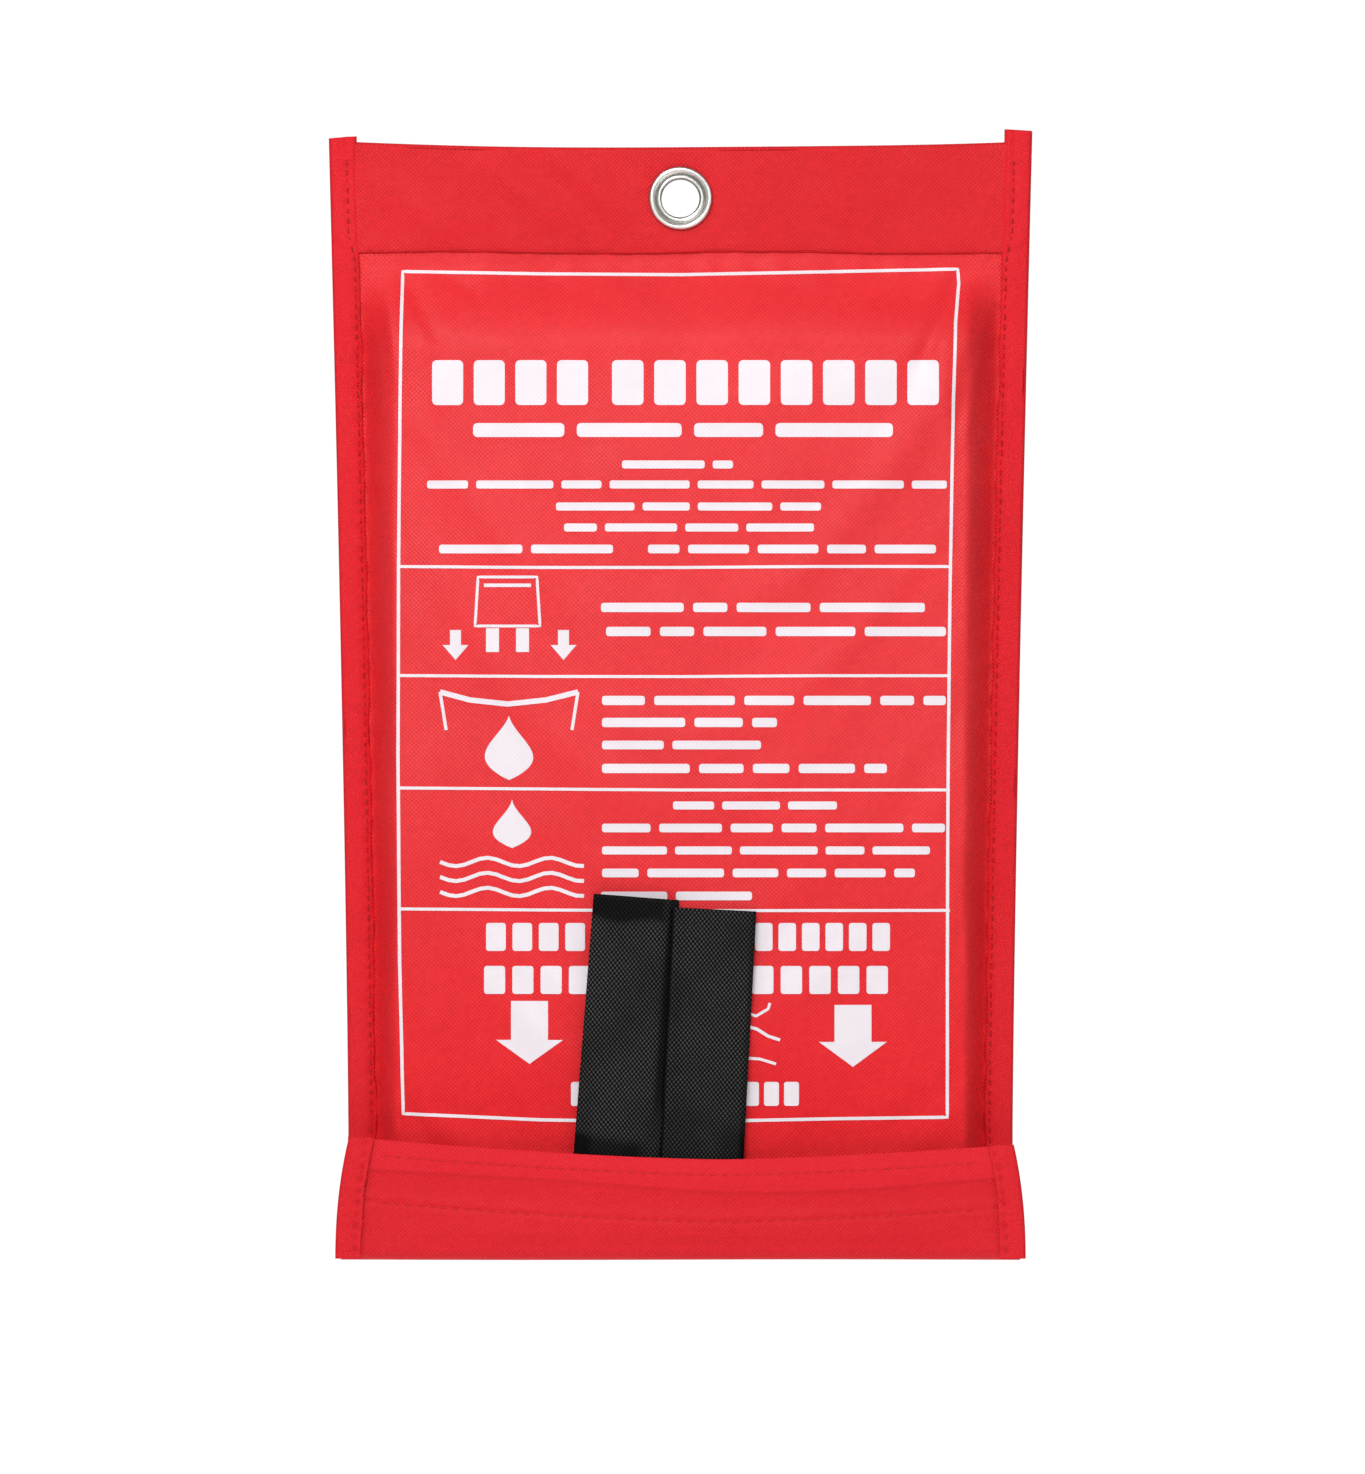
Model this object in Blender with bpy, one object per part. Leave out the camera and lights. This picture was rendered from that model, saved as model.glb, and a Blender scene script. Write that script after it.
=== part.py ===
"""Fire blanket in a hanging pouch, with a closure flap and two pull tapes.

Sizes are in millimetres and become metres in the scene. +Z is up, the front faces -Y and
left is -X. x = 0 is the middle and z = 0 the underside of the bottom fold. Y_MID shifts
every depth so that the outline is centred on y = 0.
"""
import math
import bpy
import bmesh
from mathutils import Vector

MM = 0.001
Y_MID = 2.525

# Pouch outline
TOP_Z = 316.0                        # nominal top of the header
HEADER_DIP, HEADER_RISE, HEADER_RISE_X = 1.3, 1.5, 95   # dip at x = 0, rise by HEADER_RISE_X
HALF_TOP, HALF_LOW = 100.0, 94.4     # half widths at the two ends of the taper
TAPER_TOP_Z, TAPER_LOW_Z = 320, 36
TAPER_POWER = 1.3

# Pouch cloth
CLOTH = 0.5
PANEL_INSET = 0.9                    # from the outline to a panel's raw edge
PANEL_TOP = 312
FRONT_Y = -8.5                       # outer face of the front panel
SEAM_Y = 5.4                         # outer face of the front panel where it is sewn flat
BACK_Y0, BACK_Y1 = 6.3, 6.8
MOUTH_Z = 9.0                        # lower edge of the front panel
POCKET_TOP, POCKET_LOW = 284.0, 260.0   # the front slopes back between these heights
POCKET_INSET = 8.1                   # from the outline to the foot of the side slope
FLAT_HALF = 81.8                     # half width of the front panel's flat

# Closure flap
FOLD_Z = 0.6                         # thickness of the fold strip
FLAP_Y0, FLAP_Y1 = -12.65, -11.85
FLAP_LOW = FOLD_Z + 0.3
FLAP_TOP_MIN, FLAP_TOP_MAX = 28.1, 33.8
FLAP_DIP_X = 12                      # where the upper edge is lowest
FLAP_RUN_LEFT, FLAP_RUN_RIGHT = 106, 110   # from there to where the edge reaches its maximum
FLAP_TOP_POWER = 1.5
FLAP_HALF_LOW = 98.1                 # half width at z = 0, narrowing to HALF_LOW
FLAP_SIDE_POWER = 2.2
FLAP_SPAN = 94                       # half span over which the upper edge is drawn

THREAD_HALF = 0.25                   # half width of a seam thread

# Finishes
RED, RED_DARK, BLACK = (0.76, 0.025, 0.035), (0.62, 0.02, 0.03), (0.018, 0.018, 0.018)
NICKEL, GLASS = (0.75, 0.73, 0.69), (0.82, 0.82, 0.78)
POUCH_CLOTH = dict(colour=RED, rough=0.45)
BINDING_CLOTH = dict(colour=RED_DARK, rough=0.5)
RED_THREAD = dict(colour=RED_DARK, rough=0.6)
HOOK_AND_LOOP = dict(colour=RED_DARK, rough=0.9)
EYELET_METAL = dict(colour=NICKEL, rough=0.22, metal=1.0)
WASHER_METAL = dict(colour=NICKEL, rough=0.3, metal=1.0)
BLANKET_CLOTH = dict(colour=GLASS, rough=0.7)
TAPE_WEBBING = dict(colour=BLACK, rough=0.75)
TAPE_THREAD = dict(colour=BLACK, rough=0.7)
HELPER = dict(colour=BLACK, rough=0.5)

SIDES = ((-1, "left"), (1, "right"))

for old in list(bpy.data.objects):
    bpy.data.objects.remove(old, do_unlink=True)


# ---- nodes and materials ----
def material(name, colour, rough, metal=0.0):
    mat = bpy.data.materials.new(name)
    mat.use_nodes = True
    shader = mat.node_tree.nodes["Principled BSDF"]
    shader.inputs["Base Color"].default_value = (*colour, 1)
    shader.inputs["Roughness"].default_value = rough
    shader.inputs["Metallic"].default_value = metal
    mat.diffuse_color = (*colour, 1)
    return mat


def empty(name, at):
    obj = bpy.data.objects.new(name, None)
    obj.location = (at[0] * MM, (at[1] + Y_MID) * MM, at[2] * MM)
    bpy.context.scene.collection.objects.link(obj)
    return obj


def finish(name, bm, look, parent=None, smooth=None):
    """Turns a bmesh in millimetres into an object whose origin is its parent's, if any.
    smooth is the angle in degrees above which edges stay sharp."""
    bmesh.ops.remove_doubles(bm, verts=bm.verts, dist=1e-4)
    bmesh.ops.recalc_face_normals(bm, faces=bm.faces)
    pivot = parent.location.copy() if parent else Vector((0, 0, 0))
    for v in bm.verts:
        v.co = Vector((v.co.x * MM, (v.co.y + Y_MID) * MM, v.co.z * MM)) - pivot
    mesh = bpy.data.meshes.new(name)
    bm.to_mesh(mesh)
    bm.free()
    obj = bpy.data.objects.new(name, mesh)
    bpy.context.scene.collection.objects.link(obj)
    if parent:
        obj.parent = parent
    mesh.materials.append(material(name + "_finish", **look))
    if smooth:
        mesh.shade_smooth()
        mesh.set_sharp_from_angle(angle=math.radians(smooth))
    return obj


# ---- solids ----
def bridge(bm, ring, following):
    """Quads between two closed rings of the same count."""
    count = len(ring)
    for i in range(count):
        j = (i + 1) % count
        bm.faces.new((ring[i], ring[j], following[j], following[i]))


def loft(sections):
    """A closed solid through rings of points that all have the same count."""
    bm = bmesh.new()
    rings = [[bm.verts.new(p) for p in section] for section in sections]
    for ring, following in zip(rings, rings[1:]):
        bridge(bm, ring, following)
    bm.faces.new(rings[0])
    bm.faces.new(rings[-1])
    return bm


def sheet(front_rows, back_rows):
    """A closed solid between two grids of points, with its own rim."""
    bm = bmesh.new()
    front = [[bm.verts.new(p) for p in row] for row in front_rows]
    back = [[bm.verts.new(p) for p in row] for row in back_rows]
    row_steps, column_steps = range(len(front) - 1), range(len(front[0]) - 1)
    for j in row_steps:
        for i in column_steps:
            bm.faces.new((front[j][i], front[j][i + 1], front[j + 1][i + 1], front[j + 1][i]))
            bm.faces.new((back[j][i], back[j + 1][i], back[j + 1][i + 1], back[j][i + 1]))
    for j in row_steps:
        bm.faces.new((front[j][0], front[j + 1][0], back[j + 1][0], back[j][0]))
        bm.faces.new((front[j][-1], back[j][-1], back[j + 1][-1], front[j + 1][-1]))
    for i in column_steps:
        bm.faces.new((front[0][i], back[0][i], back[0][i + 1], front[0][i + 1]))
        bm.faces.new((front[-1][i], front[-1][i + 1], back[-1][i + 1], back[-1][i]))
    return bm


def offset_path(path, half, mitre_floor=0.35):
    """Both sides of a path in a plane, mitred, as one closed ring."""
    points = [Vector(p) for p in path]
    left, right = [], []
    for i, p in enumerate(points):
        into = (p - points[i - 1] if i else points[1] - p).normalized()
        out = (points[i + 1] - p).normalized() if i < len(points) - 1 else into
        normal = Vector((-(into + out).y, (into + out).x)).normalized()
        reach = half / max(mitre_floor, normal.dot(Vector((-into.y, into.x))))
        left.append(p + normal * reach)
        right.append(p - normal * reach)
    return left + right[::-1]


def rectangle(x, y0, y1, z0, z1):
    """A ring in the y-z plane."""
    return [(x, y0, z0), (x, y1, z0), (x, y1, z1), (x, y0, z1)]


def add_thread(name, path, y, thick, look=RED_THREAD, parent=None):
    """A thin strip along a path of (x, z) points; y is its front face."""
    ring = offset_path(path, THREAD_HALF)
    solid = loft([[(p.x, depth, p.y) for p in ring] for depth in (y, y + thick)])
    finish(name, solid, look, parent=parent)


def channel(side, heights, edge_of, y0, y1, wall, width, top_lean=0.0):
    """A binding folded round a side edge: a U in the x-y plane, lofted up z.
    top_lean is how much higher the top stands at its inner end than at the edge."""
    chamfer = 0.7
    edge_gap = 0.1
    sections = []
    for z in heights:
        edge = edge_of(z)
        hollow = edge - wall - edge_gap
        ring = [(edge - width, y0), (edge - chamfer, y0), (edge, y0 + chamfer),
                (edge, y1 - chamfer), (edge - chamfer, y1), (edge - width, y1),
                (edge - width, y1 - wall), (hollow, y1 - wall),
                (hollow, y0 + wall), (edge - width, y0 + wall)]
        lean = top_lean if z == heights[-1] else 0.0
        sections.append([(side * x, y, z + lean * (edge - x) / width) for x, y in ring])
    return loft(sections)


# ---- outlines ----
def half_width(z):
    rise = max(0.0, z - TAPER_LOW_Z) / (TAPER_TOP_Z - TAPER_LOW_Z)
    return HALF_LOW + (HALF_TOP - HALF_LOW) * rise ** TAPER_POWER


def header_shift(x):
    """Height of the header's curved top above TOP_Z."""
    return HEADER_RISE * (x / HEADER_RISE_X) ** 2 - HEADER_DIP


def flap_half(z):
    rise = min(z, FLAP_TOP_MAX) / FLAP_TOP_MAX
    return FLAP_HALF_LOW - (FLAP_HALF_LOW - HALF_LOW) * rise ** FLAP_SIDE_POWER


def flap_top(x):
    run = FLAP_RUN_LEFT if x < FLAP_DIP_X else FLAP_RUN_RIGHT
    along = abs(x - FLAP_DIP_X) / run
    return FLAP_TOP_MIN + (FLAP_TOP_MAX - FLAP_TOP_MIN) * along ** FLAP_TOP_POWER


def ease(t):
    t = min(1.0, max(0.0, t))
    return t * t * (3 - 2 * t)


def front_depth(x, z):
    """Depth of the front panel's outer face."""
    edge = half_width(z) - POCKET_INSET
    across = ease((edge - abs(x)) / (edge - FLAT_HALF))
    up = 1 - ease((z - POCKET_LOW) / (POCKET_TOP - POCKET_LOW))
    return SEAM_Y + (FRONT_Y - SEAM_Y) * across * up


# ---- eyelet hole ----
EYE_Z = 301.0
EYE_BORE, EYE_OD = 10.8, 18.0
EYE_HOLE_RADIUS = 6.3                # hole in the cloth
EYE_SEGMENTS = 40
CUTTER_Y0, CUTTER_Y1 = 0.0, 12.0


def eye_circle(radius, y):
    angles = [math.tau * k / EYE_SEGMENTS for k in range(EYE_SEGMENTS)]
    return [(radius * math.cos(a), y, EYE_Z + radius * math.sin(a)) for a in angles]


cutter = finish("eyelet_hole_cutter",
                loft([eye_circle(EYE_HOLE_RADIUS, y) for y in (CUTTER_Y0, CUTTER_Y1)]), HELPER)
cutter.hide_render = True
cutter.display_type = "WIRE"


def punch(obj):
    cut = obj.modifiers.new("eyelet_hole", "BOOLEAN")
    cut.operation = "DIFFERENCE"
    cut.solver = "EXACT"
    cut.object = cutter


# ---- pouch panels ----
FRONT_HEIGHTS = (MOUTH_Z, 30, 60, 110, 160, 210, 240, POCKET_LOW,
                 264, 268, 272, 276, 280, POCKET_TOP, 292, PANEL_TOP)
BACK_HEIGHTS = (0.9, 40, 110, 180, 250, PANEL_TOP)


def front_columns(z):
    slope_run = half_width(z) - POCKET_INSET - FLAT_HALF
    side = [0, 20, 40, 60, 75, FLAT_HALF]
    side += [FLAT_HALF + slope_run * t for t in (0.25, 0.5, 0.75)]
    # The last slope column is the pocket's edge itself, where the cloth lies flat.
    side += [FLAT_HALF + (half_width(z) - POCKET_INSET - FLAT_HALF) * 1]
    side += [half_width(z) - PANEL_INSET]
    return [-x for x in side[:0:-1]] + side


def front_inner_point(x, z):
    """The inner face, one cloth thickness along the normal; flat parts move in y only."""
    step = 0.05
    slope = (front_depth(abs(x) + step, z) - front_depth(abs(x) - step, z)) / (2 * step)
    rise = (front_depth(x, z + step) - front_depth(x, z - step)) / (2 * step)
    normal = Vector((-slope * (1 if x >= 0 else -1), 1.0, -rise)).normalized() * CLOTH
    on_side_slope = FLAT_HALF < abs(x) < half_width(z) - POCKET_INSET
    on_top_slope = POCKET_LOW < z < POCKET_TOP
    return (x + normal.x if on_side_slope else x,
            front_depth(x, z) + normal.y,
            z + normal.z if on_top_slope else z)


def front_panel():
    outer = [[(x, front_depth(x, z), z) for x in front_columns(z)] for z in FRONT_HEIGHTS]
    inner = [[front_inner_point(x, z) for x in front_columns(z)] for z in FRONT_HEIGHTS]
    return sheet(outer, inner)


def back_panel():
    def face(y):
        return [[(u * (half_width(z) - PANEL_INSET), y, z) for u in (-1, -0.5, 0, 0.5, 1)]
                for z in BACK_HEIGHTS]
    return sheet(face(BACK_Y0), face(BACK_Y1))


# Folded band over the header, open downwards: (y, z)
BAND_LOW = 284.5
BAND_PROFILE = [
    (4.6, BAND_LOW), (4.6, TOP_Z - 0.8), (5.2, TOP_Z), (7.0, TOP_Z),
    (7.6, TOP_Z - 0.8), (7.6, BAND_LOW), (7.1, BAND_LOW), (7.1, TOP_Z - 1.0),
    (6.8, TOP_Z - 1.4), (5.4, TOP_Z - 1.4), (5.1, TOP_Z - 1.0), (5.1, BAND_LOW),
]


def header_band():
    sections = []
    for k in range(9):
        u = -1 + k / 4
        ring = []
        for y, z in BAND_PROFILE:
            x = u * (half_width(z) - PANEL_INSET)
            ring.append((x, y, z + (header_shift(x) if z > BAND_LOW else 0)))
        sections.append(ring)
    return loft(sections)


punch(finish("front_panel", front_panel(), POUCH_CLOTH, smooth=40))
punch(finish("back_panel", back_panel(), POUCH_CLOTH))
punch(finish("header_band", header_band(), POUCH_CLOTH))

# ---- pouch side bindings ----
BINDING_HEIGHTS = [MOUTH_Z - 0.5, 40, 80, 120, 160, 200, 240, 270, 300]
BINDING_TOPS = ((318.0, 0.6), (320.1, 0.5))   # (height, lean), left then right
for (side, side_name), (top, lean) in zip(SIDES, BINDING_TOPS):
    binding = channel(side, BINDING_HEIGHTS + [top], half_width, y0=3.9, y1=8.3,
                      wall=0.5, width=7.8, top_lean=lean)
    finish(side_name + "_side_binding", binding, BINDING_CLOTH)

# ---- eyelet, turned about the y axis through its centre: (radius beyond the bore, y) ----
EYELET_PROFILE = [
    (0, 4.9), (0.12, 4.3), (0.5, 3.85), (1.0, 3.65), (1.5, 3.35), (2.2, 3.15),
    (2.9, 3.3), (3.4, 3.75), ((EYE_OD - EYE_BORE) / 2, 4.45), (3.1, 4.45), (0.6, 4.45),
    (0.6, 8.55), (1.5, 8.62), (1.5, 8.85), (1.2, 9.05), (0.6, 9.05), (0.15, 8.7), (0, 8.2),
]
WASHER_PROFILE = [
    (0.75, 7.75), (0.75, 8.35), (1.85, 8.35), (2.0, 8.5), (3.3, 8.5), (3.5, 8.3), (3.5, 7.75),
]


def lathe(profile):
    bm = bmesh.new()
    circles = [eye_circle(EYE_BORE / 2 + beyond, y) for beyond, y in profile]
    rings = [[bm.verts.new(p) for p in section] for section in zip(*circles)]
    for ring, following in zip(rings, rings[1:] + rings[:1]):
        bridge(bm, ring, following)
    return bm


finish("eyelet_front", lathe(EYELET_PROFILE), EYELET_METAL, smooth=35)
finish("eyelet_washer", lathe(WASHER_PROFILE), WASHER_METAL, smooth=35)

# ---- pouch seam threads and loop strip ----
HEADER_SEAM_Z, SEAM_WAVE, SEAM_WAVE_X = 287.0, 0.5, 14.0   # the header seam wavers slightly
SIDE_SEAM_INSET = 6.3
add_thread("header_seam_thread",
           [(x, HEADER_SEAM_Z + SEAM_WAVE * math.sin(x / SEAM_WAVE_X))
            for x in range(-90, 91, 9)], y=4.3, thick=0.2)
for side, side_name in SIDES:
    path = [(side * (half_width(z) - SIDE_SEAM_INSET), z) for z in range(12, 318, 19)]
    add_thread(side_name + "_seam_thread", path, y=3.6, thick=0.2)
loop_strip = loft([rectangle(x, y0=-9.25, y1=-8.65, z0=10.0, z1=27.5) for x in (-78, 0, 78)])
finish("mouth_loop_strip", loop_strip, HOOK_AND_LOOP)

# ---- closure flap ----
FOLD_FRONT_Y = -12.6
HOOK_Y0, HOOK_Y1 = -11.7, -10.9
HOOK_BELOW_TOP = (18.0, 3.0)         # lower and upper edge, below the flap's upper edge
FLAP_SEAMS = (("upper", 4.2, -13.35), ("lower", 17.3, -13.0))   # name, below the edge, y
FLAP_SIDE_SEAM_INSET = 5.8
back_hinge = empty("flap_back_axis", (0.0, (BACK_Y0 + BACK_Y1) / 2, FOLD_Z / 2))
front_hinge = empty("flap_front_axis", (0.0, (FLAP_Y0 + FLAP_Y1) / 2, FOLD_Z / 2))


def flap_panel():
    """The flap, with a raised band on its front along the upper edge."""
    side_inset = 1.0
    band_y = FLAP_Y0 - 0.35
    sections = []
    for k in range(17):
        u = -1 + k / 8
        top = flap_top(u * FLAP_SPAN)
        profile = [(FLAP_Y0, FLAP_LOW), (FLAP_Y0, top - 8.6), (band_y, top - 8.2),
                   (band_y, top - 0.4), (FLAP_Y0 + 0.1, top), (FLAP_Y1 - 0.2, top),
                   (FLAP_Y1, top - 0.3), (FLAP_Y1, FLAP_LOW)]
        sections.append([(u * (flap_half(z) - side_inset), y, z) for y, z in profile])
    return loft(sections)


def flap_binding(side):
    heights = [FLAP_LOW, 6, 12, 18, 24, 29, flap_top(side * FLAP_SPAN) + 0.3]
    return channel(side, heights, flap_half, y0=-13.75, y1=-11.15, wall=0.45, width=7.4)


def hook_strip():
    low, high = HOOK_BELOW_TOP
    return loft([rectangle(x, HOOK_Y0, HOOK_Y1, flap_top(x) - low, flap_top(x) - high)
                 for x in range(-84, 85, 14)])


fold_strip = loft([rectangle(x, FOLD_FRONT_Y, BACK_Y0, 0.0, FOLD_Z)
                   for x in (-97.2, -48, 0, 48, 97.2)])
finish("flap_fold_strip", fold_strip, POUCH_CLOTH, parent=back_hinge)
finish("flap_panel", flap_panel(), POUCH_CLOTH, parent=front_hinge)
for side, side_name in SIDES:
    finish(f"flap_{side_name}_binding", flap_binding(side), BINDING_CLOTH, parent=front_hinge)
finish("flap_hook_strip", hook_strip(), HOOK_AND_LOOP, parent=front_hinge)
for seam_name, below, y in FLAP_SEAMS:
    path = [(x, flap_top(x) - below) for x in range(-84, 85, 12)]
    add_thread(f"flap_{seam_name}_seam_thread", path, y, thick=0.25, parent=front_hinge)
for side, side_name in SIDES:
    path = [(side * (flap_half(z) - FLAP_SIDE_SEAM_INSET), z) for z in (2, 8, 14, 20, 26, 30)]
    add_thread(f"flap_{side_name}_seam_thread", path, y=-14.1, thick=0.25, parent=front_hinge)

# ---- blanket: four folded thicknesses in one accordion ----
PACK_HALF, PACK_LOW, PACK_TOP = 81.0, 31.0, 266.0
LEG, LEG_PITCH, LEG_FIRST = 2.5, 2.8, -4.75   # thickness, spacing and y of the front leg
pack_axis = empty("blanket_slide_axis", (0, LEG_FIRST + 1.5 * LEG_PITCH, PACK_LOW))


def turn(y, z, direction, steps=6):
    """A half circle of (y, z) points from one leg to the next; direction 1 bulges upwards."""
    radius = LEG_PITCH / 2
    angles = [math.pi * k / steps for k in range(steps + 1)]
    return [(y + radius - radius * math.cos(a), z + direction * radius * math.sin(a))
            for a in angles]


def blanket():
    reach = LEG_PITCH / 2 + LEG / 2
    path = [(LEG_FIRST, PACK_LOW)]
    for k, (z, direction) in enumerate(((PACK_TOP - reach, 1), (PACK_LOW + reach, -1),
                                        (PACK_TOP - reach, 1))):
        path += turn(LEG_FIRST + k * LEG_PITCH, z, direction)
    path += [(LEG_FIRST + 3 * LEG_PITCH, PACK_LOW)]
    ring = offset_path(path, LEG / 2)
    return loft([[(x, p.x, p.y) for p in ring] for x in (-PACK_HALF, PACK_HALF)])


finish("blanket", blanket(), BLANKET_CLOTH, parent=pack_axis, smooth=40)
add_thread("blanket_hem_thread", [(-76, z) for z in (34, 110, 186, 262)], y=-6.35, thick=0.25,
           look=BLANKET_CLOTH, parent=pack_axis)

# ---- pull tapes ----
TAPE_W, TAPE_T, TAPE_GAP = 23.4, 1.3, 0.4
TAPE_IN_Y, TAPE_OUT_Y = -6.8, -10.05   # middle of the two legs of the root
TAPE_LEAN = math.radians(3.43)
TAPE_PIVOT = (-5.26, -12.6, 34.0)
TAPE_BREAK = 1.0                     # gap from root to free end, halved each side of the pivot
ROOT_TOP, ROOT_FOLD = 38.0, -25.6    # up the tape: inner leg's top, start of the bottom fold
TAPE_TOPS = (69.1, 65.7)             # up the tape, left then right
STITCH_Y0, STITCH_Y1 = -7.7, -7.5
STITCH_INSET, STITCH_HALF = 3, 0.3
STITCH_FIRST, STITCH_PITCH, STITCH_ROWS = 14.0, 5.0, 5
UP = Vector((math.sin(TAPE_LEAN), 0, math.cos(TAPE_LEAN)))
ACROSS = Vector((math.cos(TAPE_LEAN), 0, -math.sin(TAPE_LEAN)))


def on_tape(u, y, s):
    """u across the tapes from the middle of their gap, y the depth, s up from the pivot."""
    p = Vector((TAPE_PIVOT[0], 0, TAPE_PIVOT[2])) + ACROSS * u + UP * s
    return (p.x, y, p.z)


def tape(path, u0, u1):
    """A tape along a path of (y, s) points."""
    ring = offset_path(path, TAPE_T / 2)
    return loft([[on_tape(u, p.x, p.y) for p in ring] for u in (u0, u1)])


def root_path(steps=8):
    middle, radius = (TAPE_IN_Y + TAPE_OUT_Y) / 2, (TAPE_IN_Y - TAPE_OUT_Y) / 2
    angles = [math.pi * k / steps for k in range(steps + 1)]
    fold = [(middle + radius * math.cos(a), ROOT_FOLD - radius * math.sin(a)) for a in angles]
    return [(TAPE_IN_Y, ROOT_TOP)] + fold + [(TAPE_OUT_Y, -TAPE_BREAK / 2)]


def stitching(u0, u1):
    """Rows across the tape, joined end to end back and forth."""
    path = []
    for k in range(STITCH_ROWS):
        ends = (u0 + STITCH_INSET, u1 - STITCH_INSET)
        path += [(u, STITCH_FIRST + STITCH_PITCH * k) for u in (ends[::-1] if k % 2 else ends)]
    ring = offset_path(path, STITCH_HALF)
    return loft([[on_tape(p.x, y, p.y) for p in ring] for y in (STITCH_Y0, STITCH_Y1)])


for (side, side_name), top in zip(SIDES, TAPE_TOPS):
    u0, u1 = sorted((side * TAPE_GAP / 2, side * (TAPE_GAP / 2 + TAPE_W)))
    axis = empty(side_name + "_tape_axis", TAPE_PIVOT)
    free_path = [(TAPE_OUT_Y, s) for s in (TAPE_BREAK / 2, top * 0.5, top)]
    finish(side_name + "_tape_root", tape(root_path(), u0, u1), TAPE_WEBBING, parent=pack_axis)
    finish(side_name + "_pull_tape", tape(free_path, u0, u1), TAPE_WEBBING, parent=axis)
    finish(side_name + "_tape_stitching", stitching(u0, u1), TAPE_THREAD, parent=pack_axis)
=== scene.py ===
"""Looks of a fire blanket in a cloth pouch: panels, header, bindings, eyelet, flap, two pull tapes,
the folded blanket and the print.

The pouch stands upright with its front towards -y and its back towards +y; z is up from the fold
under its mouth, left is -x, and the middle of the width is x = 0. Helpers work in millimetres with
y measured from the blanket's middle; mesh() converts to the frame's metres.
"""
import math

import bpy
import numpy as np
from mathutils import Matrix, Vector


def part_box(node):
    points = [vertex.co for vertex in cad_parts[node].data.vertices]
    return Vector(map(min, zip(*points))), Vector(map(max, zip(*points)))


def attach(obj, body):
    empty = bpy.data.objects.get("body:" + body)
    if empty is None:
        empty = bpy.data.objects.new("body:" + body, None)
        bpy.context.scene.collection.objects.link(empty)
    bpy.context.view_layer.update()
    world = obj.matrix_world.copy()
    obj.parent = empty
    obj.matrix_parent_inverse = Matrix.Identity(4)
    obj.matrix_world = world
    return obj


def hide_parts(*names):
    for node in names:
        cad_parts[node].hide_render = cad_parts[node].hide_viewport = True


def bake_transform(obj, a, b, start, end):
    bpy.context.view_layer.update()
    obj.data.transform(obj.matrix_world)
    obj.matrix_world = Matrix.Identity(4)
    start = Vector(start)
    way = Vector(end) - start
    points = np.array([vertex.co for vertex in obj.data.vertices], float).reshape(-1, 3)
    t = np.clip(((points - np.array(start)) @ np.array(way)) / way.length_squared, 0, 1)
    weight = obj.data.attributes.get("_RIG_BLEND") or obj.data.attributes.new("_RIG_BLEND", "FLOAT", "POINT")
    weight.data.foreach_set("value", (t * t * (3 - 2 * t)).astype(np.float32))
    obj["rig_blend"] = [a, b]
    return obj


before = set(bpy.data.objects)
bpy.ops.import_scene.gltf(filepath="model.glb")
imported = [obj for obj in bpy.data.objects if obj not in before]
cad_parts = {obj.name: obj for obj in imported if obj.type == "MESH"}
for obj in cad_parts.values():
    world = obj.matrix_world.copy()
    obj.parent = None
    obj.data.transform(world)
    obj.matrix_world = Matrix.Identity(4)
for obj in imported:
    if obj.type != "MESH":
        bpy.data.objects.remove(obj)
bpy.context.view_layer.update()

# ------------------------------------------------------------------ sizes shared by the sections
Y_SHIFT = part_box("back_panel")[0][1] * 1000 - 6.3  # from the helpers' y to the frame's y
FRONT, BACK = -1, 1                 # signs of y
SIDES = ((-1, "left"), (1, "right"))
PANEL_TOP = 311.5                   # top edge of the front and back panels
PANEL_INSET = 1.4                   # panel's side edge, in from the binding's outer edge
BINDING = 7.9                       # width of the pouch's side bindings
EYELET_Z = 301.0
PANEL_HOLE, HEADER_HOLE = 6.3, 7.5  # radii of the holes for the eyelet
STITCH = 3.3                        # pitch of the usual stitch
FLAP_SIDE = 96.0                    # half width of the fold under the mouth
FLAP_INSET = 1.2                    # flap cloth's side edge, in from its binding's outer edge
UPPER_ROW, LOWER_ROW = 4.3, 17.6    # flap's rows of stitches, down from its top edge
TAPE_Z = 34.0                       # where a tape's own length is counted from


# ------------------------------------------------------------------ curves and noise
def ease(t):
    t = np.clip(t, 0.0, 1.0)
    return t * t * (3 - 2 * t)


def mix(a, b, share):
    return a * (1 - share) + b * share


def bell(distance, width):
    return np.exp(-(distance / width) ** 2)


def gathers(s, pitch, drift, drift_pitch):
    """Small waves along a seam whose pitch drifts."""
    return np.sin(s / pitch + drift * np.sin(s / drift_pitch))


def stitch_beat(s, shift=0.0):
    """The cloth's dip along a seam, deeper once in every stitch."""
    return 0.7 + 0.3 * np.cos(math.tau * s / STITCH + shift)


def soft(x, z, scale, seed, waves=14):
    """Smooth noise, about -1..1, from seeded waves of roughly this wavelength."""
    rng = np.random.RandomState(seed)
    total = 0.0
    for _ in range(waves):
        turn = rng.uniform(0, math.tau)
        rate = math.tau / (scale * rng.uniform(0.7, 1.8))
        phase = rng.uniform(0, math.tau)
        total = total + np.sin((x * math.cos(turn) + z * math.sin(turn)) * rate + phase)
    return total / math.sqrt(waves) * 0.9


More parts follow.
